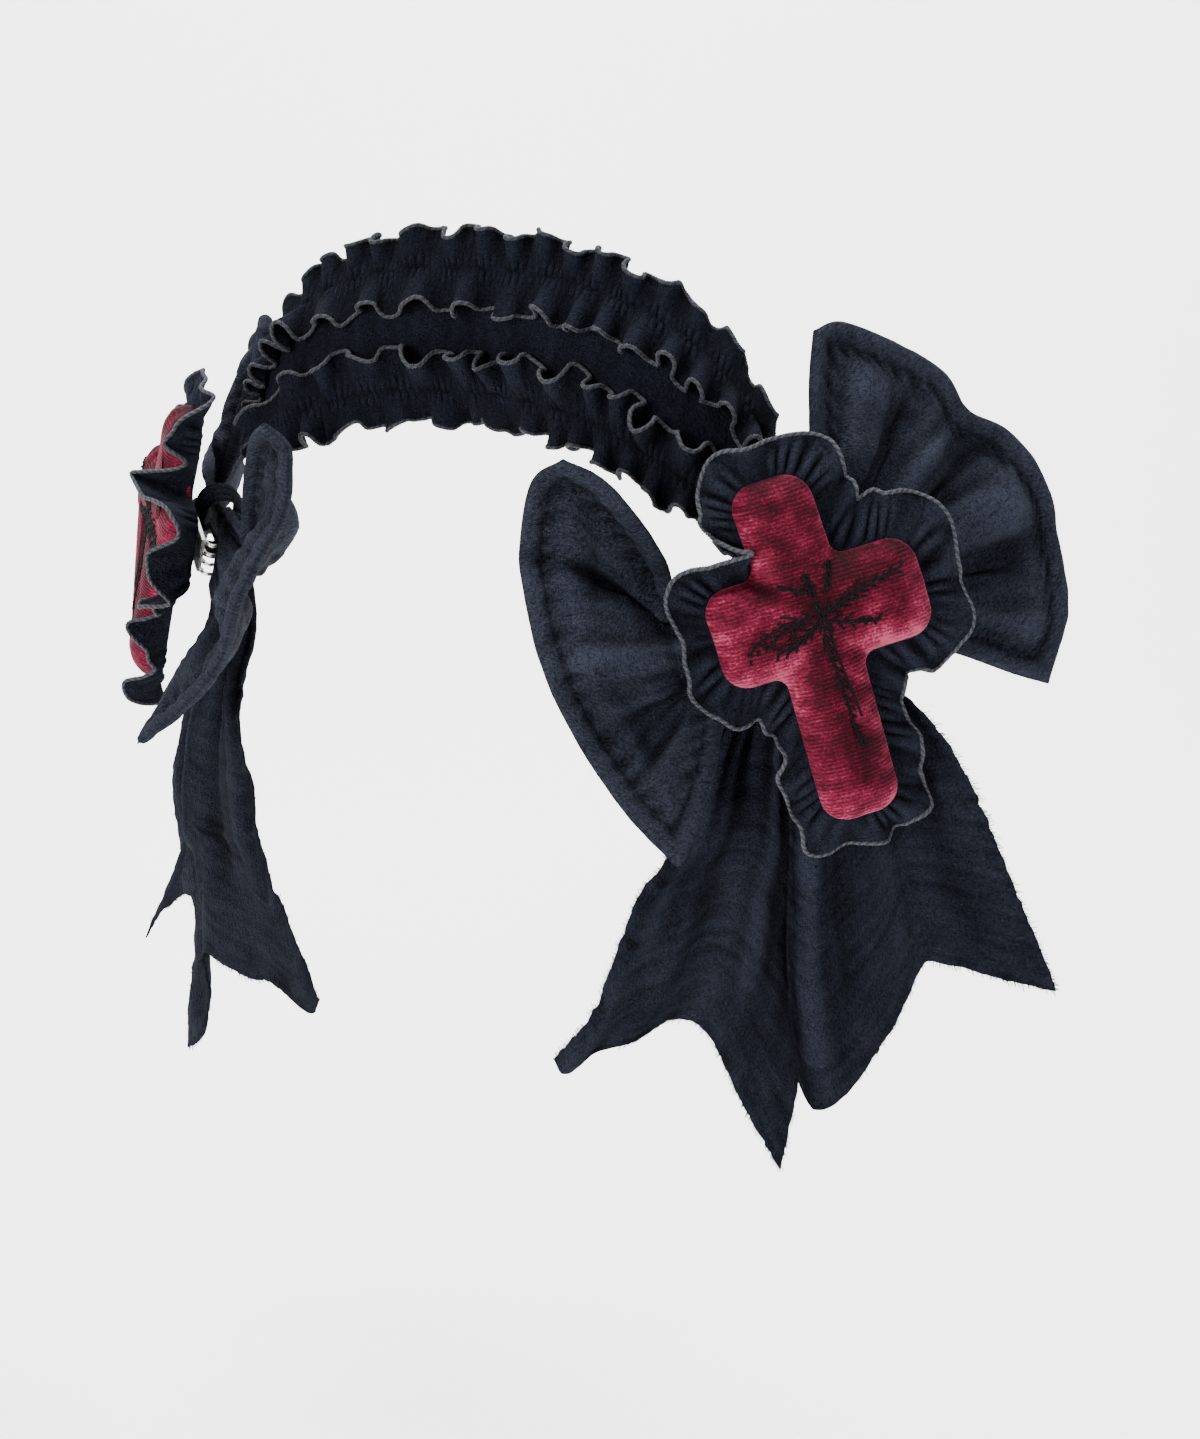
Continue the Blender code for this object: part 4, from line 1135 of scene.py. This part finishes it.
def build_pad(word, side):
    steps = 9
    margins = np.concatenate([[-3.0, -1.4, -0.5, 0.0, 0.15], -np.array([0.0, 0.25, 0.6, 1.1, 1.8, 2.7, 3.8, 5.0, 6.3, 7.6, 8.9, 10.2])])
    heights = np.concatenate([[-0.75, -0.75, -0.6, -0.1, 0.8], pad_height(-margins[5:])])
    outlines = np.stack([cross_outline(m, steps) for m in margins])  # ring, point, xy
    n_rings, n_pts = outlines.shape[:2]
    lengths = np.concatenate([[0], np.cumsum(np.linalg.norm(np.diff(outlines[5], axis=0), axis=1))])
    P = on_cross(outlines, np.broadcast_to(heights[:, None], outlines.shape[:2]))
    # puckers at the seam, soft dents on top
    ring = np.broadcast_to(np.arange(n_rings)[:, None], P.shape[:2])
    L = np.broadcast_to(lengths[None], P.shape[:2])
    pucker = 0.35 * np.sin(L * 1.05 + 1.5 * np.sin(L * 0.21)) * np.exp(-((ring - 8.0) / 2.0) ** 2)
    X, Y = outlines[..., 0], outlines[..., 1]
    dent = 0.55 * wrinkle(X, Y, 21.0 + side, (13.0, 17.0)) * smooth(ring, 6, 11)
    corner = np.zeros(P.shape[:2])
    for sx, sy in ((1, 1), (1, -1), (-1, 1), (-1, -1)):
        dx, dy = X - sx * PAD_STEM, Y - sy * PAD_ARM
        along_diag = (dx * sx + dy * sy) / math.sqrt(2)
        across = (dx * sy * sx - dy) / math.sqrt(2)
        corner -= 1.1 * np.exp(-(across / 1.9) ** 2) * np.exp(-((along_diag + 3.0) / 4.5) ** 2)
    P = P + CROSS_OUT * ((pucker + dent + corner) * smooth(ring, 4, 7))[..., None]
    verts = place(P.reshape(-1, 3), side)
    bm = bmesh.new()
    bv = [bm.verts.new(v) for v in verts]
    layer = bm.loops.layers.uv.new("cloth")
    flat = np.stack([X.ravel(), Y.ravel()], axis=1)
    index = {v: i for i, v in enumerate(bv)}
    for r in range(n_rings - 1):
        for i in range(n_pts):
            j = (i + 1) % n_pts
            bm.faces.new((bv[r * n_pts + i], bv[r * n_pts + j], bv[(r + 1) * n_pts + j], bv[(r + 1) * n_pts + i]))
    bm.faces.new([bv[i] for i in range(n_pts)])
    cap = bm.faces.new([bv[(n_rings - 1) * n_pts + i] for i in range(n_pts)])
    for face in bm.faces:
        for loop in face.loops:
            i = index[loop.vert]
            loop[layer].uv = (flat[i, 0] * MM, flat[i, 1] * MM)
    bmesh.ops.triangulate(bm, faces=[cap])
    bm.faces.ensure_lookup_table()
    for face in bm.faces:
        if all(index[v] < 3 * n_pts for v in face.verts if v in index):
            face.material_index = 1
    bm.normal_update()
    bmesh.ops.recalc_face_normals(bm, faces=bm.faces)
    # painted sheen and shade on the velvet: lighter where the surface faces down and on steep rims, darker where it
    # faces up and on the flat faces
    slope = grid_normals(np.swapaxes(P, 0, 1), closed=True).swapaxes(0, 1)
    if slope[-4, 10] @ CROSS_OUT < 0:
        slope = -slope
    lean = slope @ (-0.12 * CROSS_BACK - 0.99 * CROSS_UP)
    steep = np.sqrt(np.clip(1 - (slope @ CROSS_OUT) ** 2, 0, 1))
    painted_sheen_and_shade = 0.30 + 0.48 * lean + 0.26 * steep + 0.16 * wrinkle(X, Y, 40.0 + side, (7.0, 11.0))
    # painted shade: darker down the middle of the flat face of the pad
    painted_sheen_and_shade = painted_sheen_and_shade - 0.22 * np.exp(-((X - 1.0) / 9.0) ** 2) * smooth(-Y, -40.0, 10.0) * (1 - steep)
    values = np.clip(painted_sheen_and_shade, 0, 1).ravel()
    obj = link("cross_velvet_" + word, bm)
    layer = obj.data.attributes.new("painted_sheen_and_shade", "FLOAT", "POINT")
    layer.data.foreach_set("value", values)
    obj.data.materials.append(VELVET)
    obj.data.materials.append(COTTON)
    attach(obj, "root")
    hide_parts("cross_pad_" + word)
    build_motif(word, side, obj)
    return obj


def build_motif(word, side, pad):
    """Black embroidered sprig of thorns, laid on the velvet."""
    rng = random.Random(77)
    mesh = pad.data
    tree = BVHTree.FromPolygons([v.co for v in mesh.vertices], [tuple(q.vertices) for q in mesh.polygons])
    mirror = np.array([side, 1.0, 1.0])
    down = Vector(-(CROSS_OUT * mirror))

    def laid(points):
        out = []
        for x, y in points:
            start = Vector(((on_cross(np.array([x, y]), 30.0) - HEAD_SEAT) * MM * mirror).tolist())
            hit = tree.ray_cast(start, down)[0]
            if hit is None:
                return None
            out.append((np.array(hit) / MM) * mirror + HEAD_SEAT + CROSS_OUT * 0.12)
        return out

    lines = []

    def stroke(x, y, angle, length, bend=0.0):
        pts = []
        for k in range(6):
            f = k / 5
            turn = angle + bend * f
            pts.append((x, y))
            x += math.cos(turn) * length / 5
            y += math.sin(turn) * length / 5
        spot = laid(pts)
        if spot:
            lines.append(spot)

    # branches: start x, y, angle, length, bend, thorns, thorn length
    branches = [
        (1.0, 5.0, -90, 44.0, 6, 30, 3.4),
        (-1.0, 1.0, 176, 22.0, 46, 14, 5.0),
        (2.0, 1.0, 18, 26.0, -10, 18, 5.0),
        (0.0, -1.0, -152, 15.0, -14, 10, 4.2),
        (2.0, -1.0, -24, 16.0, 20, 10, 4.2),
        (-7.5, 12.0, -38, 9.0, 24, 5, 2.6),
        (8.5, 15.0, -112, 10.0, -14, 5, 2.6),
        (0.5, 13.5, -92, 8.0, 6, 6, 2.8),
    ]
    for x0, y0, angle, length, bend, thorns, size in branches:
        a0, turn = math.radians(angle), math.radians(bend)
        stroke(x0, y0, a0, length, turn)
        stroke(x0 + 0.8, y0 - 0.5, a0 + 0.05, length * 0.8, turn)
        for k in range(thorns):
            f = (k + 0.4) / thorns
            at = a0 + turn * f * 0.5
            x, y = x0 + math.cos(at) * length * f, y0 + math.sin(at) * length * f
            hand = 1 if k % 2 else -1
            slope = math.radians(rng.uniform(34, 66)) * hand
            stroke(x, y, at + slope, size * rng.uniform(0.6, 1.25) * (1 - 0.55 * f), -0.5 * hand)
    obj = thread("motif_" + word, lines, THREAD, radius=0.40, bead=0.09, pitch=0.9, sides=5, side=side)
    return obj


def build_frill(word, side):
    """Gathered strip behind the edge of the pad, with an overlocked edge."""
    steps = 9
    shares = np.linspace(0, 1, 17)
    base = cross_outline(0.0, steps)
    near_rows = np.array(FRILL_REACH)
    d2 = ((base[:, None, :] - near_rows[None, :, :2]) ** 2).sum(axis=2)
    weight = np.exp(-d2 / (2 * FRILL_SPREAD ** 2)) + 1e-6
    width = FRILL_WIDTH * (weight * near_rows[None, :, 2]).sum(axis=1) / weight.sum(axis=1)
    outlines = np.empty((len(base), len(shares), 2))
    levels = np.linspace(-3.0, FRILL_WIDTH * 1.2, 31)
    stack = np.stack([cross_outline(m, steps) for m in levels], axis=1)
    for j, share in enumerate(shares):
        want = -3.0 + (width + 3.0) * share
        f = (want + 3.0) / (FRILL_WIDTH * 1.2 + 3.0) * 30
        k = np.clip(f.astype(int), 0, 29)
        f = (f - k)[:, None]
        row = np.arange(len(base))
        outlines[:, j] = stack[row, k] * (1 - f) + stack[row, k + 1] * f
    ref = cross_outline(4.0, steps)
    lengths = np.concatenate([[0], np.cumsum(np.linalg.norm(np.diff(np.vstack([ref, ref[:1]]), axis=0), axis=1))])
    total = lengths[-1]
    n = int(total / 0.55)
    want = np.arange(n) * total / n
    k = np.clip(np.searchsorted(lengths, want, side="right") - 1, 0, len(ref) - 1)
    f = (want - lengths[k]) / (lengths[k + 1] - lengths[k])
    nxt = (k + 1) % len(ref)
    XY = outlines[k] * (1 - f)[:, None, None] + outlines[nxt] * f[:, None, None]
    BX = base[k] * (1 - f)[:, None] + base[nxt] * f[:, None]
    W = np.clip((shares * (FRILL_WIDTH + 3.0) - 2.5) / (FRILL_WIDTH + 0.5), 0, 1)[None]
    s = want[:, None]
    turns = 2 * math.pi / total
    lower = smooth(-BX[:, 1], 16.0, 26.0)[:, None]
    fore = smooth(-BX[:, 0], 14.0, 22.0)[:, None]
    slow = np.sin(s * turns * 19 + 1.3 * np.sin(s * turns * 5 + 1.0)) + 0.6 * np.sin(s * turns * 31 + 2.0)
    wave = (1.5 + 0.9 * lower) * slow * W ** 1.4
    phase = s * turns * 74 + 2.6 * np.sin(s * turns * 9) + 1.1 * np.sin(s * turns * 23)
    deep = 0.55 + 0.45 * np.sin(s * turns * 11 + 0.7)
    pleat = 1.20 * deep * np.sin(phase) * np.exp(-((W - 0.36) / 0.34) ** 2) * smooth(W, 0.0, 0.12)
    scallop = (0.9 + 0.8 * lower) * np.sin(s * turns * 19 + 1.3 * np.sin(s * turns * 5 + 1.0) + 1.2) * W ** 2
    scallop = scallop - (1.0 + lower) * np.clip(slow, 0, 2) * W ** 2 * 0.6
    grow = XY[:, -1] - XY[:, 0]
    grow /= np.linalg.norm(grow, axis=1, keepdims=True)
    # the front lobe cups outwards, and its top edge folds over the pad's inner corner
    near = np.exp(-((BX[:, 0] + PAD_STEM + 2.0) ** 2 + (BX[:, 1] - PAD_ARM) ** 2) / (2 * 4.2 ** 2))[:, None]
    forward = smooth(-BX[:, 0], 4.0, 10.0)[:, None]
    if side > 0:
        cup = 3.2 * fore * W ** 1.8
    else:
        cup = (10.5 * forward + 3.0 * fore) * W ** 1.3 * (1 + 0.22 * np.sin(s * turns * 13 + 0.6))
    fold_x = near * W ** 1.5 * 10.5
    fold_out = near * W ** 1.2 * 12.0
    XY = XY + grow[:, None, :] * (scallop - 0.35 * cup)[..., None]
    XY = XY + np.stack([fold_x, -0.12 * fold_x], axis=-1)
    P = on_cross(XY, -1.2 - 1.3 * W + wave + pleat + cup + fold_out)
    A = np.broadcast_to(s * 1.5, P.shape[:2]).copy()
    C = np.broadcast_to(-3.0 + (FRILL_WIDTH + 3.0) * shares[None], P.shape[:2]).copy()
    N = grid_normals(P, closed=True)
    if N[n // 3, 3] @ CROSS_OUT < 0:
        N = -N
    P = P + N * (0.30 * wrinkle(A, C, 31.0 + side, (3.6, 5.0)) * W)[..., None]
    front, back = P + N * 0.3, P - N * 0.3
    # painted shade: stronger painted fold shade in the frill's pleats
    obj = shell("frill_cloth_" + word, front, back, (A, C), COTTON, closed=True, side=side, painted_shade_depth=1.7)
    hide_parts("cross_frill_" + word)
    edge = thread("frill_overlock_" + word, [P[:, -1]], OVERLOCK, radius=0.64, bead=0.11, pitch=0.85, closed=True, side=side)
    return obj


# ------------------------------------------------------------------ assemble
build_band()
build_ruffle("ruffle_front_cloth", "ruffle_front", -RUFFLE_SEAM, 5)
build_ruffle("ruffle_back_cloth", "ruffle_back", RUFFLE_SEAM, 11)
def build_teeth(word, side):
    """Short bent prongs along the front edge of the clip."""
    lines = []
    for k in range(4):
        y = -5.4 + 3.6 * k
        pts = [(-25.0, y, -5.2), (-26.6, y, -5.0), (-28.0, y, -5.6), (-28.6, y, -6.8), (-28.2, y, -8.2)]
        lines.append([on_cross(np.array([px, py]), out) for px, py, out in pts])
    return thread("clip_teeth_" + word, lines, NICKEL, radius=0.62, bead=0.0, pitch=0.6, sides=8, side=side)


for word, side in (("left", 1), ("right", -1)):
    build_bow(word, side)
    build_teeth(word, side)
    build_knot(word, side)
    build_tail("front", word, side, TAILS[word][0], TAIL_FRONT_FOLDS, 7.0 + side)
    build_tail("back", word, side, TAILS[word][1], TAIL_BACK_FOLDS, 12.0 + side)
    build_pad(word, side)
    build_frill(word, side)
    clip = bpy.data.objects["cross_clip_" + word]
    for slot in clip.material_slots:
        slot.material = NICKEL

# ------------------------------------------------------------ studio, camera
FLOOR_Z = -0.42
bm = bmesh.new()
profile = [(-2.2, 0.0), (0.6, 0.0)]
for k in range(1, 13):
    a = k / 12 * math.pi / 2
    profile.append((0.6 + 0.5 * math.sin(a), 0.5 - 0.5 * math.cos(a)))
profile.append((1.1, 2.6))
wide = 2.6
turn = math.radians(30.1)
prev = None
for y, z in profile:
    pair = []
    for x in (-wide, wide):
        px = x * math.cos(turn) - y * math.sin(turn)
        py = x * math.sin(turn) + y * math.cos(turn)
        pair.append(bm.verts.new((px, py, z + FLOOR_Z)))
    if prev:
        bm.faces.new((prev[0], prev[1], pair[1], pair[0]))
    prev = pair
sweep = link("studio_sweep", bm)
sweep.data.materials.append(paper("sweep_paper", (0.94, 0.94, 0.945)))

world = bpy.data.worlds.new("studio")
bpy.context.scene.world = world
world.use_nodes = True
world.node_tree.nodes["Background"].inputs["Color"].default_value = (0.93, 0.95, 1.0, 1.0)
world.node_tree.nodes["Background"].inputs["Strength"].default_value = 0.24


def softbox(name, at, to, size, power, colour=(1.0, 1.0, 1.0)):
    data = bpy.data.lights.new(name, "AREA")
    data.shape = "RECTANGLE"
    data.size, data.size_y = size
    data.energy = power
    data.color = colour
    lamp = bpy.data.objects.new(name, data)
    bpy.context.scene.collection.objects.link(lamp)
    lamp.location = at
    lamp.rotation_euler = (Vector(to) - Vector(at)).to_track_quat("-Z", "Y").to_euler()
    return lamp


AIM = (0.0, 0.0, -0.09)


def studio(across, away, up):
    """Studio place: across the picture, away from the camera, up."""
    return (across * math.cos(turn) - away * math.sin(turn), across * math.sin(turn) + away * math.cos(turn), up)


softbox("key", studio(-0.80, -1.10, 0.32), AIM, (0.7, 0.7), 40.0, (1.0, 0.99, 0.975))
softbox("fill", studio(0.95, -0.95, 0.05), AIM, (0.7, 0.9), 12.0, (0.94, 0.96, 1.0))
softbox("top", studio(0.15, 0.10, 1.25), AIM, (0.8, 0.6), 2.0, (0.96, 0.98, 1.0))
softbox("sweep_wall", studio(0.0, 0.15, 1.35), studio(0.0, 1.1, 0.15), (1.8, 0.4), 85.0)

camera = bpy.data.cameras.new("camera")
camera.sensor_fit = "AUTO"
camera.sensor_width = 36.0
camera.lens = 1900.0 / 1439.0 * 36.0
camera.clip_start = 0.01
eye = bpy.data.objects.new("camera", camera)
bpy.context.scene.collection.objects.link(eye)
az, el, dist = math.radians(30.1), math.radians(19.5), 0.687
target = Vector((0.0, 0.082 - 0.006 - 0.0064, -0.079 - 0.067))
back = Vector((math.sin(az) * math.cos(el), -math.cos(az) * math.cos(el), math.sin(el)))
eye.location = target + back * dist
eye.rotation_euler = (math.radians(90.0 - 19.5), 0.0, az)
bpy.context.scene.camera = eye
